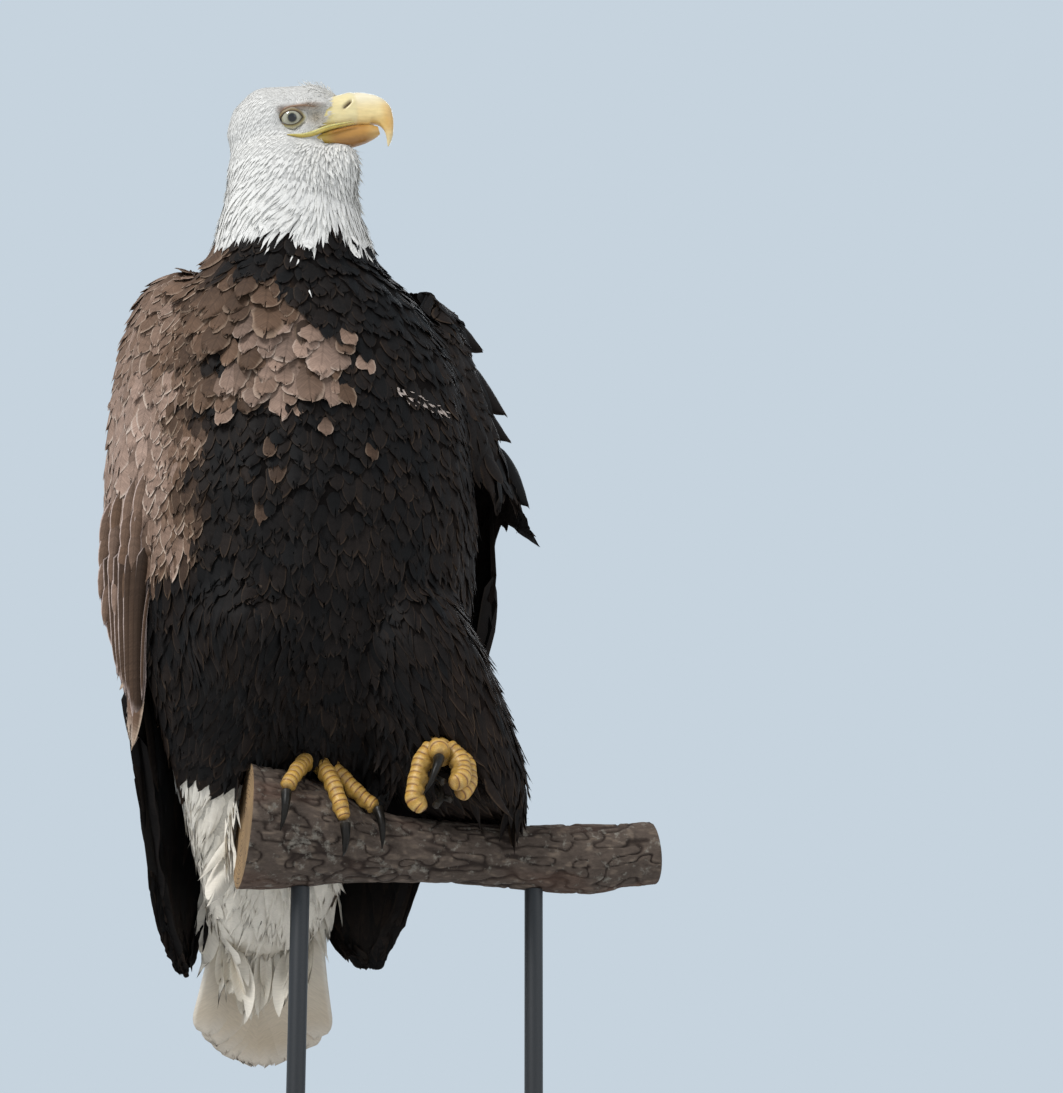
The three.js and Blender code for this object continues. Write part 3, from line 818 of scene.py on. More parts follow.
def lie(points, ups):
    """Which way the plumage lies at places on the skin, along its surface."""
    spread = points * (1, 1, 0) - (0, 10, 0)
    way = np.array((0, 0, -0.22)) + 0.09 * unit(spread)
    for middle, reach, pull in GUIDES:
        way = way + hill(points, middle, reach)[:, None] * unit(pull)
    # The hackles run together into pointed locks.
    lock = ease(535, 550, points[:, 2]) * ease(622, 600, points[:, 2])
    turned = np.cross(ups, along_skin(way, ups))
    swing = 0.45 * np.linalg.norm(way, axis=1) * noise(points * (1, 1, 0.4), 15, 5) * lock
    way = way + turned * swing[:, None]
    # Under the belly they point back.
    way = way + (0, 0.3, 0) * ease(-0.4, -0.8, ups[:, 2])[:, None]
    # Round each eye the feathers part and flow past.
    for s in (-1, 1):
        away = points - in_head(np.array(EYE_PLACE) * (1, 1.3 * s, 1))
        reach = np.linalg.norm(away, axis=1)
        towards = -(unit(way) * unit(away)).sum(1)
        push = np.maximum(towards, 0) * ease(34, 15, reach)
        way = unit(way) + 1.5 * unit(away) * push[:, None]
    return along_skin(way, ups)


def along_skin(way, ups):
    return unit(way - ups * (way * ups).sum(-1, keepdims=True))


def facing(way):
    """The skin, with every feather's outer side turned one way."""
    return TREE, np.broadcast_to(unit(way), face_normal.shape)


def toward_each(goals):
    """A lie that runs along the skin to each feather's own goal."""
    return lambda points, ups: along_skin(unit(goals - points), ups)


# ---- feathers
# An outline: where it is widest, where it starts to narrow, and how blunt it ends.
OUTLINES = {
    "tuft": (0.30, 0.25, 1.2, 1.0),
    "lance": (0.35, 0.35, 1.5, 0.95),
    "leaf": (0.40, 0.50, 1.9, 0.70),
    "round": (0.40, 0.55, 2.3, 0.50),
    "blade": (0.06, 0.72, 1.7, 0.75),
    "vane": (0.06, 0.86, 2.2, 0.5),
}


def outline(t, kind):
    rise, drop, power, blunt = OUTLINES[kind]
    swell = np.clip(t / rise, 0, 1) ** 0.6
    fall = np.clip((t - drop) / (1 - drop), 0, 1) ** power
    return np.maximum(swell * np.maximum(1 - fall, 0) ** blunt, 0.1)


def varied(value, count, rng, vary=0.0):
    return np.broadcast_to(np.asarray(value, float), (count,)) * (1 + rng.uniform(-vary, vary, count))


def grow(name, roots, length, width, kind, rise, seed, rows=8, cols=5, field=lie, goals=None,
         sink=-1.0, arch=0.14, ragged=0.08, jag=0.12, tilt=0.0, vary=0.14, wander=0.12,
         tone=0.13, loose=0.0, flare=0.0, light=None, white=None, worn=None, fade=None, grade=0.2,
         over=None, hem=None, material=None, slot="brown_plumage", nodes=()):
    """One joined mesh of feathers: each starts at a root, follows the skin along the lie and rises
    to its tip. Lengths are in millimetres. loose is the share of the tip that no longer hugs the
    skin, and flare turns that share outwards. With goals, each feather makes for its own."""
    rng = np.random.default_rng(seed)
    roots = np.asarray(roots, float)
    count = len(roots)
    length = varied(length, count, rng, vary)
    width = varied(width, count, rng, vary)
    rise = varied(rise, count, rng, 0.45)
    loose = varied(loose, count, rng, 0.3)
    shares = 1 - (1 - np.linspace(0, 1, rows)) ** 1.35
    face = snap(roots)[2]
    p, n, _ = snap(roots, over)
    if goals is not None:
        field = toward_each(goals)
        length = length * np.linalg.norm(goals - p, axis=1)
    light, white, worn = (v if v is None else np.broadcast_to(v, count) for v in (light, white, worn))
    way = field(p, n)
    side = np.cross(n, way)
    way = along_skin(way + side * rng.normal(0, wander, count)[:, None], n)
    sway = rng.normal(0, wander * 0.5, count)
    middle, ups, ways = [p], [n], [way]
    for k in range(1, rows):
        step = length * (shares[k] - shares[k - 1])
        to = p + way * step[:, None]
        found, up, _ = snap(to, over)
        gap = np.linalg.norm(found - to, axis=1)
        free = shares[k] > 1 - loose
        held = (gap < 0.42 * step + 0.6) & ((up * n).sum(1) > 0.55) & ~free
        held &= ((found - p) * way).sum(1) > 0.55 * step
        new_p = np.where(held[:, None], found, to)
        new_n = np.where(held[:, None], unit(up + n), n)
        new_way = along_skin(way * 0.6 + field(new_p, new_n) * 0.4, new_n)
        new_way = along_skin(new_way + np.cross(new_n, new_way) * (sway * 0.3)[:, None], new_n)
        bent = unit(way + n * flare * 0.25)
        if goals is not None:
            bent = unit(bent + 0.5 * unit(goals - p))
            free = free | ~held
        way = np.where(held[:, None], new_way, np.where(free[:, None], bent, way))
        p, n = new_p, along_skin(new_n, way)
        middle.append(p)
        ups.append(n)
        ways.append(way)
    middle, ups, ways = (np.array(a).swapaxes(0, 1) for a in (middle, ups, ways))
    if goals is None:
        # A feather that leaves the body sideways, or crosses the tail's base, is left out.
        far = np.linalg.norm(snap(p, over)[0] - p, axis=1)
        kept = (far < 0.3 * length) | (way[:, 2] < -0.45) | (roots[:, 2] > 500)
        falls = middle[:, 0, 2] - middle[:, -1, 2] > 0.5 * length
        kept &= falls | (roots[:, 1] < 100) | (roots[:, 2] > 200)
        middle, ups, ways = middle[kept], ups[kept], ways[kept]
        roots, face, length, width, rise = (a[kept] for a in (roots, face, length, width, rise))
        light, white, worn = (v if v is None else v[kept] for v in (light, white, worn))
        count = len(roots)
    u = np.linspace(-1, 1, cols)
    t = shares[None, :, None] * (1 - jag * rng.random((count, 1, cols)) * shares[None, :, None] ** 3)
    half = 0.5 * width[:, None, None] * outline(shares, kind)[None, :, None]
    half = half * (1 - ragged * rng.random((count, rows, cols)) * np.abs(u))
    sides = np.cross(ups, ways)
    # How far the skin falls away under the feather's two edges.
    fall = np.zeros((count, rows))
    if cols > 3:
        for way_out in (-1, 1):
            edge = middle + sides * (way_out * half.mean(2))[..., None]
            flat = edge.reshape(-1, 3)
            found, _, _ = snap(flat, over)
            gap = ((found - flat) * ups.reshape(-1, 3)).sum(1).reshape(count, rows)
            fall += 0.5 * np.clip(gap, -half.mean(2) * 0.7, half.mean(2) * 0.3)
    lift = sink + (rise[:, None, None] - sink) * t ** 1.15
    lift = lift - arch * half * u ** 2 + fall[..., None] * u ** 2 + tilt * u
    lag = -(u ** 2) * half * 0.35 * (1 - shares[None, :, None])
    slide = (t - shares[None, :, None]) * length[:, None, None] + lag
    points = (
        middle[:, :, None]
        + sides[:, :, None] * (half * u)[..., None]
        + ups[:, :, None] * lift[..., None]
        + ways[:, :, None] * slide[..., None]
    ).reshape(-1, 3)
    first = cells(rows, cols)
    quad = np.stack([first, first + cols, first + cols + 1, first + 1], -1)
    faces = (quad[None] + (np.arange(count) * rows * cols)[:, None, None]).reshape(-1, 4)

    at = roots
    bright = lightness(at) if light is None else varied(light, count, rng)
    bright = np.clip(bright + rng.normal(0, 0.05, count), 0, 1)
    pale = whiteness(at) if white is None else varied(white, count, rng)
    tail = ease(160, 60, at[:, 2])[:, None]
    milk = linear(WHITE) + (linear(TAIL_WHITE) - linear(WHITE)) * tail
    ground = brown_at(bright, BROWNS) * (1 - pale[:, None]) + milk * pale[:, None]
    rim = brown_at(bright, BROWN_RIMS) * (1 - pale[:, None]) + linear(WHITE_RIM) * pale[:, None]
    if hem is not None:
        rim = np.broadcast_to(linear(hem), rim.shape)
    shade = 1 + rng.uniform(-tone, tone, count) * (1 - 0.72 * pale)
    ground = ground * shade[:, None]
    strength = (0.35 + 0.5 * bright) * (1 - pale) if worn is None else varied(worn, count, rng)
    rim = np.hstack([rim, strength[:, None]])

    made = piece(name, points, faces, material)
    mesh = made.data
    each = rows * cols
    ground, rim = np.repeat(ground, each, 0), np.repeat(rim, each, 0)
    # Each brown feather is painted darker towards its root: painted shade where the feathers above
    # overlap it.
    ground *= 1 - grade * (1 - t.ravel()[:, None]) * (1 - np.repeat(pale, each)[:, None])
    if pale.max() > 0:
        # Painted shadow under each brow and painted shade on the lores.
        blend(ground, "#a07a5c", 0.75 * painted_brow_shadow(points) * np.repeat(pale, each))
        blend(ground, "#a99b80", 0.8 * painted_lore_shade(points) * np.repeat(pale, each))
    if fade is not None:
        dark = ease(fade[1], fade[0], points[:, 2])
        blend(ground, BROWNS[0][1], dark)
        rim[:, 3] *= 1 - 0.8 * dark
    paint(mesh, "Plume", ground)
    paint(mesh, "Rim", rim)
    vane = np.stack([np.broadcast_to(u, (count, rows, cols)).ravel(), t.ravel()], -1)
    size = np.stack([(half * u).ravel(), (t * length[:, None, None]).ravel()], -1)
    patch = np.repeat(face_uv[face], each, 0) + 0.003 * (vane * (0.5, 1) - (0, 0.5))
    lay_maps(mesh, faces, patch, vane, size)
    mesh.uv_layers.active = mesh.uv_layers["OFBake"]
    finish(made, slot, *nodes)
    return made


def near_eye(points):
    hit = np.zeros(len(points), bool)
    for s in (-1, 1):
        middle = eye_middle(s)
        way = HEAD_AXES @ eye_way(s)
        away = points - middle
        along = away @ way
        across = np.linalg.norm(away - along[:, None] * way, axis=1)
        hit |= (across < LID_REACH) & (along > 0)
    return hit


def bare_face(points):
    """Where the bill, the gape and the eyelids leave no room for feathers."""
    f, l, u = to_head(points).T
    bill = (f > bill_line(u)) & (u > -24)
    gape = (np.abs(u - np.interp(f, GAPE_LINE[0], GAPE_LINE[1])) < 1.7) & (f > -4) & (np.abs(l) > 8)
    return bill | gape | near_eye(points)


# Where the mouth's line runs behind the bill: forward, up.
GAPE_LINE = ((-4, 3, 10, 20, 29, 38, 46, 57), (-18.6, -19.3, -18.9, -16.8, -14.3, -12.5, -11.6, -10.6))

plume_white = plumage_material("white_feather_keratin", 0.75, 0.1, 0.93, 1.0, 0.22)
plume_brown = plumage_material("brown_feather_keratin", 0.62, 0.28, 0.7, 0.8, 0.12)

mid_head = to_head(face_middle)
head_reach = np.linalg.norm((mid_head - (0, 0, 2)) / (50, 38, 40), axis=1)
face_x, face_y, height = face_middle.T
white_here = whiteness(face_middle) > 0.5
collar = height > 535
on_head = collar & (head_reach < 1.25)
face_zone = on_head & (mid_head[:, 0] > -4 - 0.3 * mid_head[:, 2])
bare = bare_face(face_middle)


in_white = {"white": 1, "material": plume_white, "slot": "white_plumage"}


def white_piece(name, chosen, spacing, length, width, kind, rise, seed, **more):
    roots = sprinkle(chosen, spacing, seed)
    roots = roots[~bare_face(roots)]
    return grow(name, roots, length, width, kind, rise, seed, **in_white, **more)


white_piece("coat_face", face_zone & ~bare, 1.45, 7.5, 1.5, "tuft", 0.55, 11, rows=4, cols=3, sink=-0.5,
            wander=0.1, jag=0.3)
white_piece("coat_crown", on_head & ~face_zone, 2.0, 13, 2.3, "tuft", 0.9, 12, rows=5, cols=3,
            sink=-0.7, wander=0.12, jag=0.3)
forehead = (mid_head[:, 0] > 22) & (mid_head[:, 2] > 17) & (np.abs(mid_head[:, 1]) < 15) & ~bare
white_piece("coat_forehead", forehead, 2.2, 12, 1.5, "lance", 3.4, 15, rows=6, cols=3, sink=-0.4,
            wander=0.3, jag=0.4, loose=0.7, flare=0.5)
chin = (mid_head[:, 0] > 8) & (mid_head[:, 2] < -24) & (height > 590) & white_here & ~bare
white_piece("coat_chin", chin, 2.4, 14, 2.0, "lance", 2.2, 16, rows=6, cols=3, sink=-0.4,
            wander=0.3, jag=0.4, loose=0.5, flare=0.2)
throat = collar & ~on_head & white_here
white_piece("coat_neck", throat & (height > 580), 2.7, 19, 3.2, "lance", 1.9, 13, rows=6, cols=3,
            wander=0.16, jag=0.35)
white_piece("coat_hackles", throat & (height <= 596), 3.1, 35, 4.6, "lance", 3.4, 14, rows=9, cols=3,
            wander=0.1, jag=0.4, loose=0.2, flare=0.1)
# The beard hangs loose from the chin and fills the throat out below the bill.
beard = (np.abs(mid_head[:, 0] - 34) < 18) & (mid_head[:, 2] < -33) & (height > 596) & ~bare
white_piece("coat_beard", beard, 3.8, 20, 3.0, "lance", 4.5, 17, rows=7, cols=3, wander=0.3, jag=0.4,
            loose=0.6, flare=0.2)


def make_bristles():
    """Short stiff bristles that lean forward over the base of the bill."""
    rng = np.random.default_rng(18)
    up = np.tile(np.linspace(-17, 17, 74), 4) + rng.normal(0, 0.5, 296)
    spots = [
        in_head((bill_line(u) - 1.6 - rng.random() * 3.4, s * 22, u))
        for s in (-1, 1) for u in up[:148]
    ]
    roots = snap(np.array(spots))[0]
    ahead = HEAD_AXES @ unit((1, 0, 0.12))
    grow("coat_bristles", roots, 7.0, 0.9, "tuft", 1.6, 18, rows=5, cols=3, sink=-0.3, loose=0.9,
         wander=0.22, vary=0.3, field=lambda points, ups: along_skin(ahead + 0 * points, ups),
         **in_white)


make_bristles()


# ---- the parts of the body
PART = node_labels(face_middle + face_normal * coat_depth(face_middle)[:, None])


def is_part(*names):
    return np.isin(PART, [FLESH.index(n) for n in names])


in_brown = {"white": 0, "material": plume_brown}


def brown_piece(name, chosen, spacing, length, width, kind, rise, seed, **more):
    roots = sprinkle(chosen, spacing, seed)
    return grow(name, roots, length, width, kind, rise, seed, material=plume_brown, **more)


def on_front(spots):
    """Places given as (x, z) on the bird's front, found on the skin."""
    found = []
    for x, z in spots:
        hit = TREE.ray_cast(Vector((x, -OUTSIDE, z)), Vector((0, 1, 0)), 2 * OUTSIDE)
        found.append(np.array(hit[0]))
    return np.array(found)


body = is_part("trunk", "neck")
front_half = face_y < 25
# The palest part of the front is partly faded feathers and partly painted sunlight.
faded_and_sunlit = (lightness(face_middle) > 0.5) & (face_x > -104) & front_half & body
# The dark feathers' roots reach a little way up under the lowest white ones.
dark_body = body & (whiteness(face_middle - (0, 0, 4)) < 0.5) & ((height < 200) <= ~white_here)
dark_body &= (face_x > -138) | (height > 240)
brown_piece("coat_breast", dark_body & front_half & (height > 270) & ~faded_and_sunlit, 7.2, 32, 15, "leaf",
            3.4, 21, rows=7, jag=0.3, wander=0.22, vary=0.25)
brown_piece("coat_breast_faded_and_sunlit", faded_and_sunlit, 11.0, 42, 25, "round", 6.8, 25, rows=10, cols=9, jag=0.25,
            ragged=0.16, wander=0.34, vary=0.3, tone=0.28, grade=0.45, arch=0.2, worn=0.35)
brown_piece("coat_belly", dark_body & front_half & (height <= 275), 7.4, 38, 14, "leaf", 4.2, 22,
            rows=7, jag=0.35, wander=0.22, vary=0.25)
brown_piece("coat_back", dark_body & ~front_half & (height < 470), 12, 46, 28, "leaf", 4.0, 23,
            rows=8, cols=7, jag=0.1, wander=0.1)
brown_piece("coat_mantle", dark_body & ~front_half & (height >= 462), 8.5, 32, 19, "leaf", 4.0, 30,
            jag=0.15, wander=0.14, vary=0.2)
by_fist = np.linalg.norm(face_middle - (90, -74, 116), axis=1) < 24
brown_piece("coat_thighs", is_part("thigh_right", "thigh_left") & ~by_fist, 7.0, 44, 11, "lance",
            4.6, 24, jag=0.3, wander=0.18, loose=0.22, flare=0.12, vary=0.25)

# Between the legs they hang like a curtain.
crotch = (face_normal[:, 2] < -0.3) & (np.abs(face_x - 5) < 75) & (np.abs(height - 125) < 38)
roots = sprinkle(crotch & (face_y < 45), 8.5, 33)
goals = roots + (0, 8, -30) * np.random.default_rng(33).uniform(0.7, 1.2, (len(roots), 1))
hanging = {"loose": 1.4, "jag": 0.3, "wander": 0.1, "light": 0.05, "worn": 0.2,
           **in_brown}
grow("coat_crotch", roots, 1.0, 11, "lance", 1.5, 33, goals=goals, **hanging)

shoulders = is_part("wing_right_coverts", "wing_left_coverts") & (height > 492)
brown_piece("coat_shoulders", shoulders, 8.5, 32, 18, "leaf", 4.6, 29, jag=0.2,
            wander=0.16, vary=0.2, white=0, worn=0.5)

# The left thigh's hem hangs down behind the branch.
roots = np.array([(128 + 6.0 * k, 8, 78) for k in range(8)])
grow("coat_thigh_hem", roots, 1.0, 13, "lance", 1.0, 35, goals=roots + (2, 4, -44),
     over=facing((0, -1, 0)), **hanging)

# The left shoulder stands up beside the neck; its own feathers run outwards over it.
top = np.linalg.norm(face_middle - (100, 2, 528), axis=1) < 38
roots = sprinkle(top & (face_x > 80), 7.0, 34)
goals = roots + (15, -5, -27)
grow("coat_shoulder_top", roots, 1.0, 16, "leaf", 5.5, 34, goals=goals, loose=0.35,
     jag=0.25, wander=0.12, light=0.08, worn=0.2, **in_brown)

# Single bleached feathers below the patch, and a fluffed row to its left.
STRAYS = [
    (-66, 394), (-47, 392), (-38, 372), (-84, 366), (-24, 388), (-6, 393), (2, 437), (10, 424),
    (20, 414), (-34, 366), (-92, 388), (-53, 330), (-46, 320), (-60, 277), (-12, 348), (34, 330),
]
spots = on_front(STRAYS) + (0, 0, 20)
pale = 0.4 + 0.38 * ease(345, 375, spots[:, 2])
grow("coat_strays", spots, 30, 15, "round", 6.2, 26, wander=0.4, vary=0.3, light=pale,
     jag=0.25, tone=0.25, grade=0.45, worn=0.3, loose=0.5, material=plume_brown)
row = [(56 + 1.7 * k, 402 - 0.3 * k + 2.5 * math.sin(2.4 * k)) for k in range(30)]
grow("coat_fluffed_row", on_front(row), 14, 3.4, "lance", 6.0, 27, rows=7, cols=3, wander=0.45,
     vary=0.4, light=1, white=0.35, jag=0.5, grade=0.5, tone=0.25, loose=0.4, flare=0.4,
     material=plume_brown)
# A few white wisps have slipped down from the neck.
wisps = [(-32, 529), (-29, 524), (-26, 493), (24, 548)]
grow("coat_wisps", on_front(wisps), 20, 1.7, "lance", 5.0, 28, rows=7, cols=3, wander=0.25, jag=0.4,
     loose=0.3, flare=0.2, **in_white)
# Three short locks lie over the collar's thinnest places.
locks = [(19, 557), (22, 555), (-8, 568)]
grow("coat_locks", on_front(locks), 18, 6, "lance", 6.5, 36, wander=0.1, jag=0.4,
     **in_white)

# Under the tail the down is loose, in fine wisps at its outer edge and smooth further back.
vent = white_here & ~collar & is_part("trunk", "thigh_right", "thigh_left") & (height > -62)
vent &= (face_y < 98) | (height < 57)
smooth_vent = vent & (face_y > 60)
by_wings = (face_y > 70) & (np.abs(face_x - 12) > 38)
grow("coat_vent", sprinkle(vent & ~by_wings, 6.0, 31), 50, 8, "lance", 4.5, 31, jag=0.5,
     wander=0.28, loose=0.25, flare=0.15, vary=0.3, **in_white)
grow("coat_vent_long", sprinkle(smooth_vent, 10.0, 32), 76, 20, "leaf", 4.0, 32, rows=9, cols=5,
     jag=0.4, wander=0.12, loose=0.15, **in_white)


# ---- wings
class Surface:
    """A CAD node's smoothed surface, to lay feathers on."""

    def __init__(self, name, inset):
        made = copied(name, 0.0)
        remeshed(made, WING_CELL, 20)
        p, n = places(made.data), normals(made.data)
        p = tuck(p - n * inset)
        faces = [tuple(f.vertices) for f in made.data.polygons]
        self.ups = unit(np.array([n[list(f)].mean(0) for f in faces]))
        self.middles = np.array([p[list(f)].mean(0) for f in faces])
        self.areas = np.array([f.area for f in made.data.polygons]) / MM ** 2
        self.tree = BVHTree.FromPolygons(p.tolist(), faces)
        self.over = (self.tree, self.ups)
        bpy.data.objects.remove(made)

    def sprinkle(self, chosen, spacing, seed):
        return sprinkle(chosen, spacing, seed, (self.middles, self.ups, self.areas))


def wing_row(side, z, start, stop, spacing, shift, tree=TREE):
    """Places along a level row round a wing's outside, from an angle at its front edge to one at the
    back. 0 is straight out to the bird's side and 90 is its back."""
    angles = np.arange(start, stop + 0.5, 1.0)
    middle = np.array((0.0, 22.0, z))
    spots = []
    for a in np.radians(angles):
        out = np.array((side * math.cos(a), math.sin(a), 0.0))
        hit = tree.ray_cast(Vector(middle + out * OUTSIDE), Vector(-out), OUTSIDE - 70)
        if hit[0] is not None:
            spots.append(np.array(hit[0]))
    spots = np.array(spots)
    run = np.concatenate([[0], np.cumsum(np.linalg.norm(np.diff(spots, axis=0), axis=1))])
    at = np.arange(shift * spacing, run[-1], spacing)
    return np.stack([np.interp(at, run, spots[:, i]) for i in range(3)], -1)


def covert_rows(side, top, bottom, step, start, stop, spacing, seed):
    rng = np.random.default_rng(seed)
    rows = []
    for k, z in enumerate(np.arange(top, bottom, -step)):
        row = wing_row(side, z, start, stop, spacing, 0.5 * (k % 2) + 0.2)
        rows.append(row + rng.normal(0, 0.14 * spacing, row.shape))
    return np.vstack(rows)


# The folded flight feathers run down to the wing's tip; the secondaries over them end higher.
WING_TIPS = {-1: np.array((-71.0, 128.0, -80.0)), 1: np.array((95.0, 127.0, -66.0))}


def make_coverts(side):
    word = SIDE_WORDS[side]
    seed = 40 if side < 0 else 60
    lower = 205 if side < 0 else 318
    wing = {"tilt": 0.45 * side, **in_brown}
    small = covert_rows(side, 532, 430, 9, -46, 88, 12, seed)
    # On the right wing the rims are painted paler: partly worn feathers and partly painted sunlight.
    grow("coverts_small_" + word, small, 34, 19, "leaf", 2.8, seed + 1, rows=7, wander=0.14,
         vary=0.22, jag=0.2, worn=0.55 if side < 0 else 0.25, **wing)
    middle = covert_rows(side, 440, lower + 96, 14, -44, 86, 15, seed + 2)
    plain = hill(middle[:, 2:], (330,), (55,)) * ease(-176, -156, middle[:, 0])
    worn = 0.8 - 0.65 * plain if side < 0 else 0.25
    grow("coverts_middle_" + word, middle, 52, 24, "leaf", 3.0 - 1.9 * plain, seed + 3, rows=9, cols=7,
         wander=0.1, vary=0.2, jag=0.2, worn=worn, light=lightness(middle - (0, 0, 30)), **wing)
    if side < 0:
        make_stripes(wing)
        return
    # On the left the great coverts stop at the hem, which drops outwards to a point.
    great = covert_rows(side, lower + 112, lower + 30, 22, -38, 84, 12, seed + 4)
    rng = np.random.default_rng(seed + 6)
    ends = great + (3, 0, -66)
    ends[:, 2] -= 34 * ease(44, 84, great[:, 1])
    hem = (left_hem(great[:, 0] + 6) - 2) * ease(86, 58, great[:, 1])
    ends[:, 2] = np.maximum(ends[:, 2], hem) + rng.normal(0, 4, len(great))
    kept = great[:, 2] - ends[:, 2] > 15
    grow("coverts_great_left", great[kept], 1.0, 19, "leaf", 3.6, seed + 5, rows=11, cols=7,
         wander=0.05, vary=0.0, jag=0.2, loose=0.6, worn=0.3, light=0.1, goals=ends[kept], **wing)


def outer_edge(z):
    """The right wing's outer edge, seen from the front."""
    return np.interp(z, (104, 116, 150, 183, 222, 292), (-140, -145, -155, -164, -174, -177))


def front_edge(x, z):
    """How far back the right wing's front lies."""
    return np.interp(x, (-178, -170, -158, -146), (34, 8, -12, -26)) + 0.36 * (290 - z) - 4


EDGE_STRIPES = 8
# Each rank of stripes: height and first angle of its roots, lowest and highest end, how wide it
# stays towards the ends, and how far it rises.
STRIPE_RANKS = (
    (296, -6, 100, 150, 0.3, 2.4), (304, -2, 150, 190, 0.62, 3.4), (312, 2, 206, 232, 0.85, 4.4),
)


def make_stripes(wing):
    """The long pale-edged feathers of the right wing, which close up towards their ends; their pale
    colour is partly painted sunlight.
    """
    for k, (z, start, low, high, near, rise) in enumerate(STRIPE_RANKS):
        roots = wing_row(-1, z, start, 62, 8.0, 0.3)
        end = low + (high - low) * np.linspace(0, 1, len(roots)) ** 0.7
        goals = roots.copy()
        goals[:, 0] = outer_edge(end) + (roots[:, 0] - outer_edge(z)) * near
        goals[:, 1] = 46 + (roots[:, 1] - 42) * near
        goals[:, 2] = end
        grow("coverts_stripes_%d" % (k + 1), roots, 1.0, 15, "blade", rise, 50 + k, rows=24, cols=7,
             goals=goals, vary=0.04, wander=0.015, jag=0.06, worn=1.0, loose=0.05, light=0.74, **wing)
    # In front they run straight down side by side, and shorter ones overlap their outer roots.
    free = {"over": facing((-0.42, -0.9, 0.1)), "wander": 0, "vary": 0.05, "loose": 1.4,
            "worn": 1.0, "arch": 0.05, "hem": "#d2bdb4"}
    share = np.linspace(0, 1, EDGE_STRIPES)
    x = -175 + 31 * share
    low = 205 - 88 * share ** 0.7
    roots = np.stack([x, front_edge(x, 266), np.full(EDGE_STRIPES, 266.0)], -1)
    goals = np.stack([outer_edge(low) + 3 + 8 * share, 26 + 14 * share, low], -1)
    grow("coverts_edge_right", roots, 1.0, 12, "blade", 0.8, 56, rows=24, cols=7, sink=0, goals=goals,
         jag=0.05, light=0.48, tone=0.25, **{**free, **wing, "tilt": -1.5})
    tips = [(outer_edge(z) + 2 + 7 * k, z + 5 * k) for z in (206, 228, 250, 272) for k in range(4)]
    x, low = np.array(tips, float).T
    goals = np.stack([x, front_edge(x, low) - 3, low], -1)
    grow("coverts_edge_short", goals + (-1, -14, 44), 1.0, 13, "leaf", 0.8, 57, rows=12, cols=7, sink=0,
         goals=goals, jag=0.1, light=0.72, **free, **wing)
    # One dark feather hangs apart, pale only along its edge.
    grow("coverts_edge_single", [(-143, -22, 236)], 1.0, 3, "blade", 0.8, 58, rows=16, sink=0,
         goals=np.array([(-133.0, 26, 138)]), jag=0.05, light=0.6, **free, **wing)


def make_flight(side):
    word = SIDE_WORDS[side]
    under = Surface("wing_%s_flight" % word, 2.5)
    tip = WING_TIPS[side]
    top = 236 if side < 0 else 296
    flight = {"vary": 0, "wander": 0, "over": under.over, "arch": 0.03, **in_brown}
    # Primaries, from the outside of the fold: their tips step up from the wing's tip.
    roots = wing_row(side, top, -3, 66, 9.5, 0.2, under.tree)
    k = np.arange(len(roots))[:, None]
    goals = tip + k * np.array((-side * 1.6, 3.0, 11.0))
    grow("primaries_" + word, roots, 1.0, 28, "blade", 1.6, 81, rows=34, cols=7, sink=0.8, goals=goals,
         tilt=1.2 * side, jag=0.03, ragged=0.03, light=0.08, worn=0.4,
         fade=(90, 210), nodes=("wing_%s_flight" % word,), **flight)
    # Secondaries lie over them in two ranks of long stripes.
    for rank, (lift, rise, ends) in enumerate(((18, 3.2, (70, 118)), (34, 5.0, (128, 168)))):
        roots = wing_row(side, top + lift, -2 + 4 * rank, 80, 10.5, 0.3 + 0.4 * rank, under.tree)
        if len(roots) < 3:
            continue
        share = np.linspace(0, 1, len(roots))[:, None]
        low = np.array(tip + (side * (18 + 14 * rank), -44 - 10 * rank, 0))
        low[2] = ends[0] if side < 0 else ends[0] + 26
        high = np.array(tip + (-side * 34, 18, 0))
        high[2] = ends[1] if side < 0 else ends[1] + 20
        goals = low + (high - low) * share
        # On the right the secondaries are painted paler, with stronger rims: partly painted sunlight.
        grow("secondaries_%d_%s" % (rank + 1, word), roots, 1.0, 25, "blade", rise, 83 + rank, rows=26,
             cols=7, sink=2.0, goals=goals, tilt=1.3 * side, jag=0.06, ragged=0.04,
             light=0.2 if side < 0 else 0.1, worn=0.6 if side < 0 else 0.4, fade=(40, 130), **flight)
    # The dark inner side of the folded wing.
    inner = under.ups @ unit((-side * 0.7, -0.7, 0)) > 0.15
    roots = under.sprinkle(inner & (under.middles[:, 2] > -50), 10.5, 87)
    roots = roots[roots[:, 2] < top]
    goals = tip + (roots - tip) * (0.35, 0.35, 0.12) - (0, 0, 6)
    share = np.minimum(130 / np.linalg.norm(goals - roots, axis=1), 1.0)
    grow("lining_" + word, roots, share, 17, "blade", 1.8, 88, rows=14, sink=0.6, goals=goals,
         light=0.05, worn=0.15, jag=0.08, tone=0.2, **flight)


# Feathers at the corner of the left wing's hem, by their tips.
LEFT_POINTS = [(226, 24, 307), (219, 16, 316), (210, 12, 324), (200, 8, 330), (191, 4, 337)]
# Feathers that hook out of the left wing's outline: (x, z) of root and of tip, and width.
LEFT_HOOKS = [
    ((134, 518), (165, 485), 23), ((136, 506), (152, 476), 24), ((154, 474), (187, 422), 24),
    ((146, 462), (172, 420), 24), ((168, 444), (193, 398), 22), ((186, 392), (208, 338), 26),
]


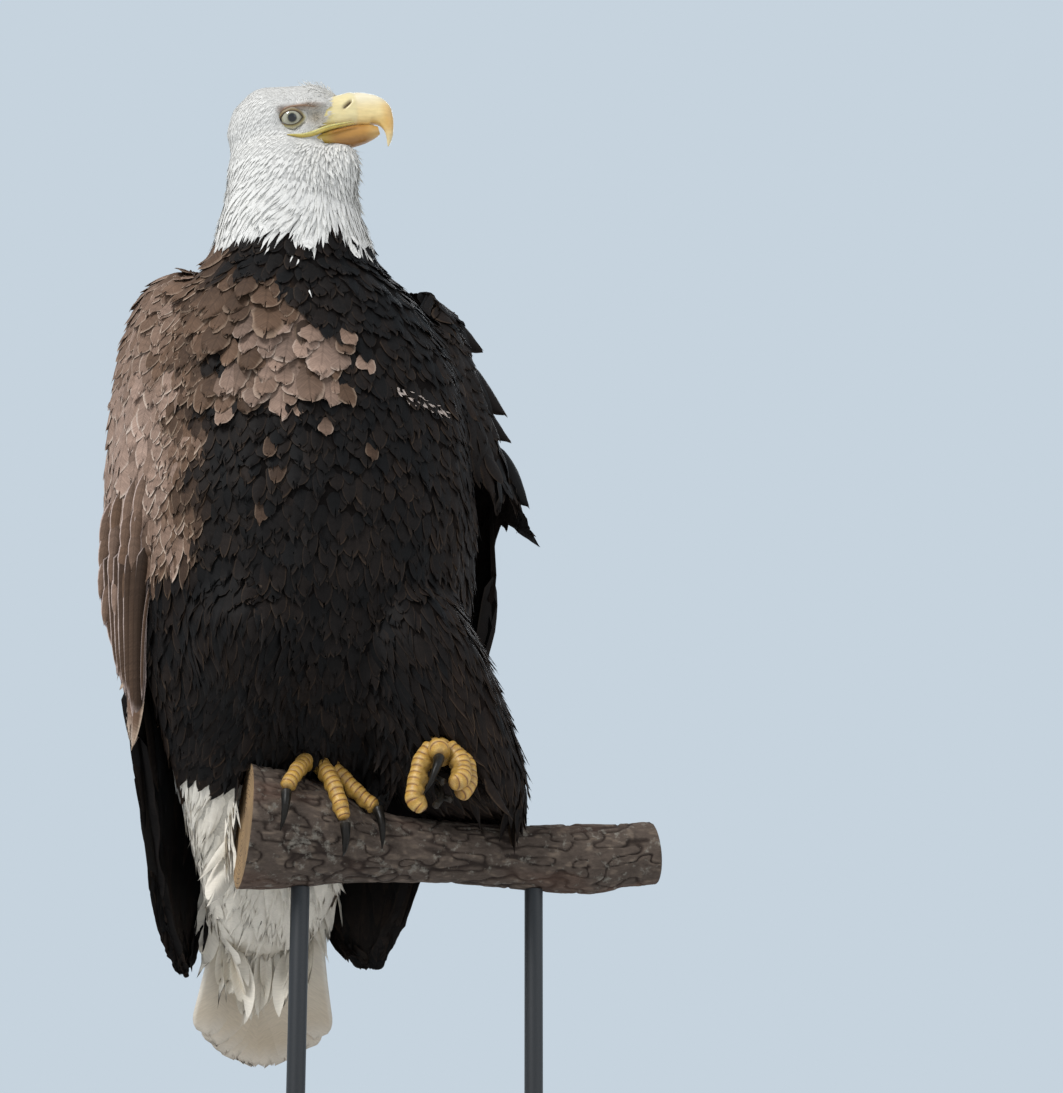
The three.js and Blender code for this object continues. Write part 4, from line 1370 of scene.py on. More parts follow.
def make_left_points():
    wing = {"vary": 0.05, "light": 0.1, **in_brown}
    tips = np.array(LEFT_POINTS, float)
    roots = tips + (-18, 2, 50)
    grow("coverts_points_left", roots, 1.0, 27, "lance", 2.0, 95, rows=12, cols=7, goals=tips,
         wander=0, jag=0.15, loose=0.85, worn=0.3, arch=0.05, **wing)
    roots = snap(np.array([(h[0][0] - 4, -14, h[0][1]) for h in LEFT_HOOKS]))[0]
    goals = np.array([(h[1][0], root[1] + 14, h[1][1]) for h, root in zip(LEFT_HOOKS, roots)])
    grow("coverts_hooks_left", roots, 1.0, [h[2] for h in LEFT_HOOKS], "leaf", 1.5, 96, rows=14, cols=7,
         goals=goals, over=facing((0.35, -0.93, 0.1)), wander=0, jag=0.12, loose=0.75, worn=0.25,
         arch=0.3, **wing)


for side in (-1, 1):
    make_coverts(side)
    make_flight(side)
make_left_points()


# ---- tail
TAIL_LINE = [(2, 112, 62), (4, 128, 20), (7, 148, -30), (9, 168, -80), (11, 186, -122), (12, 197, -152)]
TAIL_FEATHERS = 12
TAIL_LENGTH = 220
TAIL_HALF_WIDTH = 20  # of one feather


def make_tail():
    """Twelve rectrices in a narrow fan: the middle pair lies on top and the outer ones beneath."""
    rows, cols = 34, 11
    shares = np.linspace(0, 1, rows)
    line = spline(TAIL_LINE, shares)
    run = unit(np.gradient(line, axis=0))
    out = unit(np.cross(run, (1, 0, 0)))
    out = out * -np.sign(out[:, 1:2])  # towards the belly side
    u = np.linspace(-1, 1, cols)
    rng = np.random.default_rng(90)
    points, faces, ground, vane, size = [], [], [], [], []
    for k in range(TAIL_FEATHERS):
        place = k - (TAIL_FEATHERS - 1) / 2
        rank = abs(place)
        reach = 1 - 0.010 * rank ** 1.7
        half = TAIL_HALF_WIDTH * outline(shares, "vane")
        fan = place * (2.0 + 6.8 * shares)
        depth = 1.2 * (rank - 3) + rng.uniform(-0.2, 0.2)
        along = spline(TAIL_LINE, shares * reach)
        cup = -1.8 * u ** 2
        lean = np.sign(place) * 1.2 * u
        notch = 1 - 0.02 * rng.random(cols)
        grid = along[:, None] + np.array((1, 0, 0)) * (fan[:, None] + half[:, None] * u)[..., None]
        wave = 0.5 * np.sin(shares * 9 + k)[:, None]
        grid = grid + out[:, None] * (depth + cup + lean + wave)[..., None]
        grid = grid - run[:, None] * ((1 - notch) * (TAIL_LENGTH * shares[:, None] ** 6))[..., None]
        start = len(points) * rows * cols
        points.append(grid.reshape(-1, 3))
        first = start + cells(rows, cols)
        faces.append(np.stack([first, first + 1, first + cols + 1, first + cols], -1))
        stain = tail_stain(grid.reshape(-1, 3))
        milk = np.repeat(linear(TAIL_WHITE)[None], rows * cols, 0) * rng.uniform(0.94, 1.03)
        blend(milk, "#b99f78", stain * 0.55)
        blend(milk, "#8d7c68", 0.35 * ease(0.75, 1, noise(grid.reshape(-1, 3), 7, 12)) * stain)
        ground.append(milk)
        over, down = np.broadcast_arrays(u[None], shares[:, None])
        vane.append(np.stack([over.ravel(), down.ravel()], -1))
        size.append(np.stack([(half[:, None] * u).ravel(), (down * TAIL_LENGTH).ravel()], -1))
    points, faces = np.vstack(points), np.vstack(faces)
    made = piece("tail_feathers", points, faces, plume_white)
    mesh = made.data
    paint(mesh, "Plume", np.vstack(ground))
    paint(mesh, "Rim", np.array((*linear("#f2efe8"), 0.35)))
    vane, size = np.vstack(vane), np.vstack(size)
    # Each rectrix has its own place on the map.
    column = np.repeat(np.arange(TAIL_FEATHERS), rows * cols)
    flat = np.stack([(column + 0.5 + 0.45 * vane[:, 0]) / TAIL_FEATHERS, 0.02 + 0.96 * vane[:, 1]], -1)
    lay_maps(mesh, faces, flat, vane, size)
    wall = made.modifiers.new("thickness", "SOLIDIFY")
    wall.thickness = 0.0006
    wall.offset = 0
    apply_modifiers(made)
    return finish(made, "white_plumage", "tail")


make_tail()


# ---- bill, gape and eyes
HEAD_LEFT = HEAD_AXES[:, 1]


def head_keys(rows):
    """Stations (forward, up, half width, above, below) as keys of a loft."""
    return [(*in_head((f, 0, u)), w, above, below) for f, u, w, above, below in rows]


UPPER_BILL = [
    (20, -5, 15.6, 6, 10), (28, -1, 17.2, 12, 12.5), (37, 4, 15.6, 15.4, 16), (47, 6, 13.8, 15.2, 17),
    (57, 6, 12.0, 16.0, 16.4), (68, 3.5, 10.2, 15.8, 15.4), (78, -1, 8.2, 13.8, 12.6),
    (83.5, -9, 6.2, 8.4, 7.8), (85.5, -18, 4.2, 4.6, 4.4), (84.8, -26, 2.7, 2.8, 2.5),
    (82.5, -34, 0.5, 0.5, 0.5),
]
LOWER_BILL = [
    (12, -19, 14.5, 3.5, 3.2), (20, -19.5, 15.4, 5, 4.0), (28, -19.5, 14.6, 7, 5.4),
    (37, -19.5, 12.9, 9, 7.6), (50, -19.5, 10.8, 10, 8.6), (62, -19.6, 8.8, 10, 7.2),
    (71, -19.2, 6.4, 8.5, 5.0), (77, -18.6, 2.8, 4.6, 2.4),
]
NOSTRIL = {"middle": (53.4, 7.0), "way": (0.794, 0.608), "reach": 5.2, "half_width": 1.2, "depth": 3.0}


def horn_piece(name, points, grid, horn, node):
    faces = tube_faces(*grid.shape[:2])
    made = piece(name, capped(points, grid), faces, horn_shine, with_ends(horn))
    return finish(face_outwards(made), "bill_horn", node)


def make_upper_bill():
    power = ((1.04, 0.94), (0.62, 0.82))
    grid, out, _ = loft(head_keys(UPPER_BILL), HEAD_LEFT, 104, 190, power)
    out = out.reshape(-1, 3)
    points = grid.reshape(-1, 3)
    f, l, u = to_head(points).T
    # The cere is a soft swollen saddle over the base of the bill.
    border = 61.5 - 0.011 * (u - 6) ** 2
    cere = ease(border + 2.2, border - 2.4, f)
    crease = np.exp(-(((f - border - 0.8) / 1.3) ** 2)) * ease(-9, -3, u)
    points = points + out * (0.5 * cere - 0.16 * crease)[:, None]
    # The nostril is an open slit that slants up and forward.
    away = np.stack([f, u], -1) - NOSTRIL["middle"]
    ahead = away @ np.array(NOSTRIL["way"])
    across = away @ np.array((-NOSTRIL["way"][1], NOSTRIL["way"][0]))
    beside = np.abs(l) > 4
    slit = np.exp(-((ahead / NOSTRIL["reach"]) ** 4)) * beside
    slit = slit * np.exp(-((across / NOSTRIL["half_width"]) ** 2))
    lip = np.exp(-((ahead / 6.4) ** 4) - ((np.abs(across) - 2.5) / 1.0) ** 2) * beside
    points = points + out * (0.28 * lip - NOSTRIL["depth"] * slit)[:, None]
    # The cutting edge waves gently, and the horn is worn in faint layers.
    edge = ease(-6, -11, u) * ease(44, 60, f) * ease(84, 76, f)
    points = points + out * (0.3 * edge * np.sin(f / 4.6))[:, None]
    points = points + out * (0.12 * noise(points, 2.4, 7) + 0.3 * noise(points, 9, 8))[:, None]
    # The upper side and the cere's top are painted paler, nearly white: painted highlight. The lower side
    # towards the cutting edge is painted deeper yellow: painted shade.
    horn = coloured(
        "#f7dfa2", points.shape[:1],
        ("#fdf5da", ease(-2, 16, u) * ease(50, 66, f) * 0.85),
        ("#e6bb66", ease(-2, -13, u) * 0.75),
        ("#e2ad5c", ease(80, 88, f) * ease(16, -4, u) * 0.6),
        ("#eedcab", ease(-14, -30, u) * ease(78, 82, f) * 0.8),
        ("#f1e3ae", cere * 0.7),
        ("#dccb7c", ease(44, 30, f) * 0.8),
        ("#f3e7bd", ease(14, 22, u) * cere * 0.6),
        ("#d3ae62", np.clip(noise(points, 7, 14), 0, 1) * 0.2),
        # The nostril's slit is painted dark brown: painted shade inside the opening.
        ("#5b3c17", np.clip(slit * 1.35, 0, 1)),
    )
    return horn_piece("bill_upper_horn", points, grid, horn, "bill_upper")


def make_lower_bill():
    power = ((0.8, 1), (0.86, 1.0))
    grid, out, _ = loft(head_keys(LOWER_BILL), HEAD_LEFT, 64, 110, power)
    points = grid.reshape(-1, 3)
    f, _, u = to_head(points).T
    rough = 0.15 * noise(points, 3, 9) + 0.3 * noise(points, 9, 4)
    points = points + out.reshape(-1, 3) * rough[:, None]
    # The lower bill is painted browner than the upper one, and darker still just under the upper bill's
    # edge and along its underside: painted shade.
    horn = coloured(
        "#bb8840", points.shape[:1],
        ("#9a6a30", ease(-17, -12, u) * 0.6),
        ("#8f6136", ease(-21, -28, u) * 0.7),
        ("#d3bb5e", ease(40, 24, f) * 0.8),
        ("#e3c078", ease(62, 76, f) * 0.5),
    )
    return horn_piece("bill_lower_horn", points, grid, horn, "bill_lower")


def on_skin(points, out=0.0):
    found, up, _ = snap(np.asarray(points, float))
    return found + up * out


def strip(name, keys, radii, sides, rings, tint):
    """A round-edged strip of bare skin along a line; radii are half width and half height."""
    keys = np.asarray(keys, float)
    sizes = np.broadcast_to(np.asarray(radii, float), (len(keys), 2))
    rows = np.column_stack([keys, sizes[:, 0], sizes[:, 1], sizes[:, 1]])
    run = unit(np.gradient(spline(keys, np.linspace(0, 1, rings)), axis=0))
    across = np.cross(np.broadcast_to(HEAD_AXES[:, 2], run.shape), run)
    points = tube_points(loft(rows, across, sides, rings)[0], (0.2, 0.2))
    return face_outwards(piece(name, points, tube_faces(rings, sides), soft_skin, linear(tint)))


GAPE_OUT = (24, 23.5, 22, 19.5, 18.2, 16.4, 14.4, 12.2)  # how far out each point of the line lies


def make_gape():
    """The yellow lips that run back from the bill to below the eye, with the mouth's line between."""
    for side in (-1, 1):
        for name, shift, tint in (("upper", 1.0, "#e4d988"), ("lower", -1.1, "#c6ad52")):
            forward, up = np.array(GAPE_LINE)
            open_by = np.minimum(1, (forward + 7) / 12)
            keys = in_head(np.stack([forward, side * np.array(GAPE_OUT), up + shift * open_by], -1))
            keys = np.where((forward < 27)[:, None], on_skin(keys, 0.9), keys)
            sizes = [
                (0.3, 0.3), (0.9, 0.9), (1.2, 1.15), (1.3, 1.3),
                (1.3, 1.3), (1.1, 1.1), (0.8, 0.8), (0.3, 0.3),
            ]
            word = "gape_%s_%s" % (SIDE_WORDS[side], name)
            finish(strip(word, keys, sizes, 16, 60, tint), "bill_horn")


def squared(look, ahead, above):
    """Three directions, the last two turned square to the first and to each other."""
    ahead = unit(ahead - look * (ahead @ look))
    above = unit(above - look * (above @ look) - ahead * (above @ ahead))
    return look, ahead, above


def eye_axes(side):
    """The eye's own directions: the way it looks, forward and up."""
    return squared(unit(HEAD_AXES @ eye_way(side)), HEAD_AXES[:, 0], HEAD_AXES[:, 2])


def eye_material():
    """A wet eye: a clear glossy cornea over a pale cream iris with fine radial fibres."""
    m = new_material("wet_eye")
    parts = add(
        m, "SeparateXYZ", Vector=add(m, "Attribute", {"attribute_name": "Ring"}).outputs["Vector"],
    )
    spun = add(m, "CombineXYZ", X=parts.outputs["Y"], Y=parts.outputs["Z"])
    fibres = add(m, "TexNoise", Vector=spun.outputs[0], Scale=9.0, Detail=4.0, Roughness=0.7).outputs[0]
    wobble = add(m, "MapRange", Value=fibres, _1=0.3, _2=0.7, _3=-0.012, _4=0.012).outputs[0]
    at = add(m, "Math", {"operation": "ADD"}, _0=parts.outputs["X"], _1=wobble).outputs[0]
    bands = ramp(
        m, at, (0.0, "#07080a"), (0.195, "#0b0d10"), (0.215, "#5f5d48"),
        (0.28, "#aca993"), (0.46, "#bab7a3"), (0.575, "#a6a07c"),
        (0.615, "#5d5542"), (0.655, "#211c16"),
    )
    shade = add(m, "MapRange", Value=fibres, _1=0.3, _2=0.7, _3=0.86, _4=1.05).outputs[0]
    shaded = add(m, "VectorMath", {"operation": "SCALE"}, _0=bands, Scale=shade).outputs[0]
    surface(m, Base_Color=shaded, Roughness=0.12, IOR=1.376, Coat_Weight=1.0, Coat_Roughness=0.02)
    return m


def make_eye(side, material):
    look, ahead, above = eye_axes(side)
    # The gaze turns a little forward and down inside the lids.
    look, ahead, above = squared(unit(look + 0.07 * ahead - 0.05 * above), ahead, above)
    middle = eye_middle(side)
    bpy.ops.mesh.primitive_uv_sphere_add(segments=64, ring_count=44, radius=1)
    made = bpy.context.object
    made.name = "eyeball_" + SIDE_WORDS[side]
    mesh = made.data
    co = np.array([v.co for v in mesh.vertices])
    turn = np.arccos(np.clip(co[:, 2], -1, 1))
    bulge = 1 + 0.05 * ease(math.radians(52), math.radians(20), turn)
    co = co * bulge[:, None] * (EYE_RADIUS - 0.5)
    set_places(mesh, middle + co[:, :1] * ahead + co[:, 1:2] * above + co[:, 2:] * look)
    layer = mesh.attributes.new("Ring", "FLOAT_VECTOR", "POINT")
    around = np.arctan2(co[:, 1], co[:, 0])
    ring = np.stack([turn / (np.pi / 2), np.cos(around), np.sin(around)], -1)
    layer.data.foreach_set("vector", ring.astype(np.float32).ravel())
    smooth_faces(mesh)
    mesh.materials.append(material)
    return finish(face_outwards(made), "eye", "eye_" + SIDE_WORDS[side])


def make_lids(side):
    """The bare rims of the lids: a low almond opening, flattened above by the brow."""
    look, ahead, above = eye_axes(side)
    middle = eye_middle(side)
    count = 96
    turn = np.linspace(0, 2 * np.pi, count, endpoint=False)
    c, s = np.cos(turn), np.sin(turn)
    corner = np.minimum(turn, 2 * np.pi - turn)  # 0 at the front corner
    behind = np.pi - corner
    wide = 8.9 + 1.0 * np.exp(-((corner / 0.3) ** 2)) + 1.3 * np.exp(-((behind / 0.34) ** 2))
    x = wide * c
    y = np.where(s > 0, 5.4, 6.0) * s
    y = y - 0.6 * np.exp(-((corner / 0.5) ** 2)) - 0.9 * np.exp(-((behind / 0.5) ** 2))
    # Each ring: how far out from the opening, how high over the eyeball, and its colour.
    rings = [
        (-0.5, -0.6, "#1b1611"), (0.0, 0.15, "#2a231a"), (0.4, 0.7, "#54472d"), (0.9, 1.0, "#938250"),
        (1.6, 1.0, "#c2b685"), (2.5, 0.9, "#d3cbac"), (4.2, 0.5, "#dfdbcf"), (6.8, -0.4, "#e9e8e3"),
    ]
    points, colours = [], []
    for far, rise, code in rings:
        grow_by = 1 + far / np.hypot(x, y)
        flat = np.stack([x * grow_by, y * grow_by], -1)
        reach = np.minimum(np.hypot(flat[:, 0], flat[:, 1]), EYE_RADIUS - 0.6)
        deep = np.sqrt(EYE_RADIUS ** 2 - reach ** 2)
        ray = flat[:, :1] * ahead + flat[:, 1:] * above + deep[:, None] * look
        points.append(middle + unit(ray) * (np.linalg.norm(ray, axis=1) - 0.4 + rise)[:, None])
        colours.append(np.broadcast_to(linear(code), (count, 3)).copy())
    # The upper lid's edge is painted brown for the brow's shadow over it; the rear corner is painted the
    # same brown.
    for row in colours[2:6]:
        blend(row, "#6b4a30", np.maximum(ease(0.15, 0.8, s), ease(0.6, 0.95, -c)) * 0.6)
    points, colours = np.vstack(points), np.vstack(colours)
    faces = [quad if side > 0 else quad[::-1] for quad in ring_quads(len(rings), count)]
    made = piece("eyelids_" + SIDE_WORDS[side], points, faces, soft_skin, colours)
    normal = made.data.polygons[count * 3].normal
    centre = (np.array(made.data.polygons[count * 3].center) - ZERO) / MM - middle
    if np.dot(np.array(normal), centre) < 0:
        made.data.flip_normals()
    return finish(made, "white_plumage")


def make_brow(side):
    """The bare edge of the brow's shelf, just over the eye, painted rust brown for the shadow under the
    shelf.
    """
    line = [(-7, 26, 7.0), (-1, 28, 7.9), (7, 29, 8.4), (15, 27.0, 8.0), (22, 24.0, 7.4), (28, 21, 7.0)]
    keys = on_skin(in_head([(f, side * l, u) for f, l, u in line]), 0.1)
    sizes = [(0.3, 0.3), (0.9, 0.8), (1.2, 1.0), (1.0, 0.8), (0.6, 0.5), (0.2, 0.2)]
    name = "brow_" + SIDE_WORDS[side]
    return finish(strip(name, keys, sizes, 14, 40, "#a5846b"), "white_plumage")


horn_shine = horn_material("waxy_bill_horn", 0.34, 0.25, 0.1)
claw_shine = horn_material("polished_claw_horn", 0.4, 0.03, 0.25, 0.22)
soft_skin = foot_material("bare_face_skin")
scaly_skin = foot_material("scaly_foot_skin")
make_upper_bill()
make_lower_bill()
make_gape()
wet_eye = eye_material()
for side in (-1, 1):
    make_eye(side, wet_eye)
    make_lids(side)
    make_brow(side)


# ---- branch
BRANCH = [
    (-46, 4, 34, 54), (-12, 2, 32, 51), (22, 0, 28, 44), (50, 0, 23.5, 35.5), (82, 0, 20.5, 30),
    (135, 0, 20, 28), (205, 3, 19, 29), (262, 4, 21, 31), (292, 3, 25, 28.5), (322, 2, 29, 28),
]


def branch_at(x):
    """The branch's middle and radius at a place along it."""
    at, *keys = np.transpose(BRANCH).astype(float)
    y, z, radius = (np.interp(x, at, k) for k in keys)
    return np.stack([x, y, z], -1), radius


def round_branch(x, turn, out):
    """A point beside the branch: turn is in degrees round it, 0 on top and 90 in front."""
    middle, radius = branch_at(np.asarray(x, float))
    angle = np.radians(turn)
    reach = radius + out
    return middle + np.stack([0 * angle, -reach * np.sin(angle), reach * np.cos(angle)], -1)


# ---- feet
# A standing toe: where it starts and ends along the branch, its turns round it, and its arch.
STANDING_TOES = {
    "inner": (24, 62, (14, 52), 9), "middle": (15, 30, (18, 82), 7),
    "outer": (6, -22, (14, 66), 8), "hind": (12, 2, (-16, -74), 5),
}
CLAW_REACH = {"inner": 48, "middle": 34, "outer": 32, "hind": 44}
RAISED_TOES = {
    "inner": [(96, -86, 92), (88, -88, 82), (82, -92, 64), (79, -95, 46), (88, -97, 37)],
    "middle": [(110, -86, 92), (117, -92, 84), (119, -99, 72), (115, -106, 62), (106, -109, 58)],
    "outer": [(117, -78, 92), (126, -82, 82), (127, -89, 68), (123, -94, 57), (116, -97, 51)],
    "hind": [(104, -84, 84), (100, -93, 90), (98, -104, 85)],
}
RAISED_CLAWS = {
    "inner": [(97, -96, 41), (104, -91, 50), (104, -84, 60), (99, -78, 66)],
    "middle": [(101, -106, 59), (95, -100, 65), (95, -91, 72), (100, -84, 76)],
    "outer": [(111, -93, 48), (104, -86, 52), (102, -78, 61), (106, -72, 69)],
    "hind": [(98, -101, 80), (94, -109, 71), (89, -109, 58), (85, -101, 49)],
}
RAISED_MIDDLE = np.array((106, -86, 66))
RIGHT_SHANK = [(-26, 0, 128), (-8, -6, 110), (14, -10, 94), (16, -11, 88)]
LEFT_SHANK = [(104, -50, 108), (103, -72, 96), (104, -84, 88), (106, -88, 80)]
SCUTE = 5.8  # a plate's length along the toe


def standing_toe(name):
    starts, ends, turns, arch = STANDING_TOES[name]
    share = np.array((0, 0.25, 0.5, 0.75, 1))
    x = starts + (ends - starts) * share
    return round_branch(x, turns[0] + (turns[1] - turns[0]) * share, 8.6 + arch * (1 - share) ** 2)


def standing_claw(name):
    starts, ends, turns, _ = STANDING_TOES[name]
    share = np.array((0, 0.35, 0.7, 1))
    turn = turns[1] + np.sign(turns[1]) * (4 + CLAW_REACH[name] * share)
    x = ends + (ends - starts) * 0.12 * share
    return round_branch(x, turn, 10 + 4.5 * np.sin(np.pi * share) - 7.5 * share)


def digit(keys, centre, radii, sides, rings, flat=1.0, power=((1, 1), (1, 1))):
    """A toe's or claw's rings; its top side faces away from the centre it curls round."""
    keys = np.asarray(keys, float)
    shares = np.linspace(0, 1, rings)
    line = spline(keys, shares)
    run = unit(np.gradient(line, axis=0))
    top = unit(line - (centre(line) if callable(centre) else centre))
    across = np.cross(top, run)
    sizes = np.interp(shares, np.linspace(0, 1, len(radii)), radii)
    rows = np.column_stack([keys, np.interp(np.linspace(0, 1, len(keys)), shares, sizes)])
    rows = np.column_stack([rows[:, :3], rows[:, 3] * flat, rows[:, 3], rows[:, 3]])
    grid, out, angle = loft(rows, across, sides, rings, power)
    run_length = np.concatenate([[0], np.cumsum(np.linalg.norm(np.diff(line, axis=0), axis=1))])
    return grid, out, angle, shares, run_length


def closed_tube(points, colour, ends):
    """The points, faces and colours of a toe or claw with both its ends closed."""
    rings, sides = colour.shape[:2]
    grid = points.reshape(colour.shape)
    return tube_points(grid, ends), tube_faces(rings, sides), with_ends(colour.reshape(-1, 3))


def toe_mesh(keys, centre, first, last, phase):
    """A toe: broad plates over its top, small scales at its sides and soft pads beneath."""
    sides, rings = 44, 130
    radii = (first, first * 0.97, (first + last) / 2, last * 1.04, last)
    grid, out, angle, share, run = digit(keys, centre, radii, sides, rings)
    around = np.ones_like(angle)[None]
    top = ease(-0.05, 0.45, np.sin(angle))[None]
    step = (((run + phase) / SCUTE) % 1)[:, None] * around
    # The plates' front edges bow forward a little in the middle.
    step = (step + 0.16 * (np.sin(angle) - 1)[None]) % 1
    groove = np.exp(-((np.minimum(step, 1 - step) / 0.06) ** 2))
    plate = np.sin(np.pi * step) ** 0.35
    pads = np.sin((run + phase) * np.pi / 12.5)[:, None] ** 2 * ease(0.1, -0.7, np.sin(angle))[None]
    joints = 0.35 * np.cos(run * 2 * np.pi / 17)[:, None] * around
    points = grid.reshape(-1, 3)
    beads = 0.32 * noise(points, 1.5, 21).reshape(rings, sides)
    move = top * (0.3 * plate - 0.55 * groove) + 1.7 * pads + joints + beads * (1 - 0.75 * top)
    points = points + (out * move[..., None]).reshape(-1, 3)
    # The toe's end is round.
    left = np.clip((run[-1] - run) / (0.9 * last), 0, 1)
    round_end = np.sqrt(np.maximum(1 - (1 - left) ** 2, 0.01))[:, None, None]
    rows = points.reshape(rings, sides, 3)
    middle = rows.mean(1, keepdims=True)
    points = (middle + (rows - middle) * round_end).reshape(-1, 3)
    # Part of each plate is painted lighter, a painted highlight, and a wide rust band round each groove
    # is painted shade in the crease.
    colour = coloured(
        "#b8903f", (rings, sides),
        ("#d3a449", top),
        ("#e6c277", top * ease(0.35, 0.75, step) * 0.6),
        ("#a2552a", top * np.exp(-((np.minimum(step, 1 - step) / 0.16) ** 2)) * 0.5),
        ("#4f2b17", top * groove * 0.85),
        ("#a5803f", ease(0.1, -0.6, np.sin(angle))[None] * 0.7 * np.ones((rings, 1))),
        ("#7d5a34", np.clip(noise(points, 5, 33), 0, 1).reshape(rings, sides) * 0.45),
        ("#7b5230", ease(0.96, 1.0, share)[:, None] * around * 0.5),
    )
    return closed_tube(points, colour, (3.0, 0.2))


def claw_mesh(keys, centre, radius):
    sides, rings = 28, 60
    share = np.linspace(0, 1, 9)
    radii = radius * (1 - share) ** 0.8 + 0.4
    power = ((1, 1), (0.7, 1.1))
    grid, out, angle, share, _ = digit(keys, centre, radii, sides, rings, 0.84, power)
    points = grid.reshape(-1, 3)
    points = points + out.reshape(-1, 3) * (0.12 * noise(points, 2.2, 31))[:, None]
    colour = coloured(
        "#100e0b", (rings, sides),
        ("#3a332a", ease(0.16, 0.0, share)[:, None] * np.ones_like(angle) * 0.8),
        ("#211d18", ease(0.3, 0.9, np.sin(angle))[None] * np.ones((rings, 1)) * 0.6),
    )
    return closed_tube(points, colour, (1.0, 0.5))


def joined_pieces(name, parts, material, slot, *nodes):
    points, faces, colours, start = [], [], [], 0
    for co, quads, colour in parts:
        points.append(co)
        faces.extend([tuple(start + i for i in f) for f in quads])
        colours.append(colour)
        start += len(co)
    made = piece(name, np.vstack(points), faces, material, np.vstack(colours))
    return finish(face_outwards(made), slot, *nodes)


def branch_middle(line):
    return branch_at(line[:, 0])[0]


def make_feet():
    names = list(STANDING_TOES)

    def foot_piece(name, parts, material, slot, node):
        joined_pieces(name, parts, material, slot, *[node + n for n in names])

    toes = [toe_mesh(standing_toe(n), branch_middle, 7.2, 6.0, i * 1.7) for i, n in enumerate(names)]
    foot_piece("toes_right", toes, scaly_skin, "foot_skin", "toe_right_")
    claws = [claw_mesh(standing_claw(n), branch_middle, 5.2) for n in names]
    foot_piece("talons_right", claws, claw_shine, "claw_horn", "claw_right_")
    sizes = ((8.0, 7.0), (8.2, 7.4), (8.0, 7.2), (8.4, 8.8))
    toes = [toe_mesh(RAISED_TOES[n], RAISED_MIDDLE, *sizes[i], i * 1.3) for i, n in enumerate(names)]
    foot_piece("toes_left", toes, scaly_skin, "foot_skin", "toe_left_")
    behind = RAISED_MIDDLE + (0, 150, 0)
    claws = [claw_mesh(RAISED_CLAWS[n], behind, 5.4 if n == "hind" else 3.4) for n in names]
    foot_piece("talons_left", claws, claw_shine, "claw_horn", "claw_left_")
    right = toe_mesh(RIGHT_SHANK, (20, 60, 120), 11.0, 11.8, 0)
    left = toe_mesh(LEFT_SHANK, (104, -60, 40), 11, 12, 2)
    joined_pieces("shanks", [right, left], scaly_skin, "foot_skin", "shank_right", "shank_left")


make_feet()


# ---- branch and stand
# Knots: a place along the branch, the turn round it, size and height.
KNOTS = ((168, -96, 9, 3.5), (246, -60, 6, 2.2), (118, -40, 5, 2.0), (290, 60, 7, 2.5))


def bark_material():
    """Weathered bark: matt grey-brown, drawn out along the branch, with grey lichen."""
    m = new_material("weathered_bark")
    ground = add(m, "Attribute", {"attribute_name": "Plume"}).outputs["Color"]
    place = add(m, "TexCoord").outputs["Object"]
    drawn = add(m, "Mapping", Vector=place, Scale=(120, 260, 260)).outputs[0]
    grain = add(m, "TexNoise", Vector=drawn, Scale=1.0, Detail=6.0, Roughness=0.68).outputs[0]
    shade = add(m, "MapRange", Value=grain, _1=0.3, _2=0.7, _3=0.62, _4=1.22).outputs[0]
    spots = add(m, "TexNoise", Vector=place, Scale=90.0, Detail=5.0, Roughness=0.7).outputs[0]
    lichen = add(m, "MapRange", Value=spots, _1=0.56, _2=0.66, _3=0.0, _4=0.75).outputs[0]
    grown = add(m, "Mix", {"data_type": "RGBA"}, _0=lichen, _6=ground, _7=rgba("#8f8a80")).outputs[2]
    shaded = add(m, "VectorMath", {"operation": "SCALE"}, _0=grown, Scale=shade).outputs[0]
    bump = add(m, "Bump", Height=grain, Strength=0.7, Distance=0.0015).outputs[0]
    surface(m, Base_Color=shaded, Roughness=0.92, Normal=bump, Specular_IOR_Level=0.2)
    return m


def cut_wood_material():
    """The sawn ends: pale end grain with growth rings about 4 mm apart and drying cracks."""
    m = new_material("sawn_end_grain")
    parts = add(
        m, "SeparateXYZ", Vector=add(m, "Attribute", {"attribute_name": "Rings"}).outputs["Vector"],
    )
    place = add(m, "TexCoord").outputs["Object"]
    wander = add(m, "TexNoise", Vector=place, Scale=60.0, Detail=3.0).outputs[0]
    bent = add(m, "MapRange", Value=wander, _1=0.3, _2=0.7, _3=-1.6, _4=1.6).outputs[0]
    far = add(m, "Math", {"operation": "ADD"}, _0=parts.outputs["X"], _1=bent).outputs[0]
    turns = add(m, "Math", {"operation": "MULTIPLY"}, _0=far, _1=2 * math.pi / 4).outputs[0]
    wave = add(m, "Math", {"operation": "SINE"}, _0=turns).outputs[0]
    wood = ramp(
        m, add(m, "MapRange", Value=wave, _1=-1.0, _2=1.0, _3=0.0, _4=1.0).outputs[0],
        (0.0, "#a5845c"), (0.6, "#b99a70"), (1.0, "#6f5236"),
    )
    # Cracks run out from the middle; their place round the end is in Y and Z.
    spoke = add(m, "CombineXYZ", X=parts.outputs["Y"], Y=parts.outputs["Z"])
    split = add(m, "TexNoise", Vector=spoke.outputs[0], Scale=4.5, Detail=5.0, Roughness=0.75).outputs[0]
    open_crack = add(m, "MapRange", Value=split, _1=0.60, _2=0.64, _3=1.0, _4=0.25).outputs[0]
    worn = add(m, "TexNoise", Vector=place, Scale=35.0, Detail=4.0).outputs[0]
    grime = add(m, "MapRange", Value=worn, _1=0.35, _2=0.7, _3=1.0, _4=0.6).outputs[0]
    both = add(m, "Math", {"operation": "MULTIPLY"}, _0=open_crack, _1=grime).outputs[0]
    shaded = add(m, "VectorMath", {"operation": "SCALE"}, _0=wood, Scale=both).outputs[0]
    surface(m, Base_Color=shaded, Roughness=0.85)
    return m


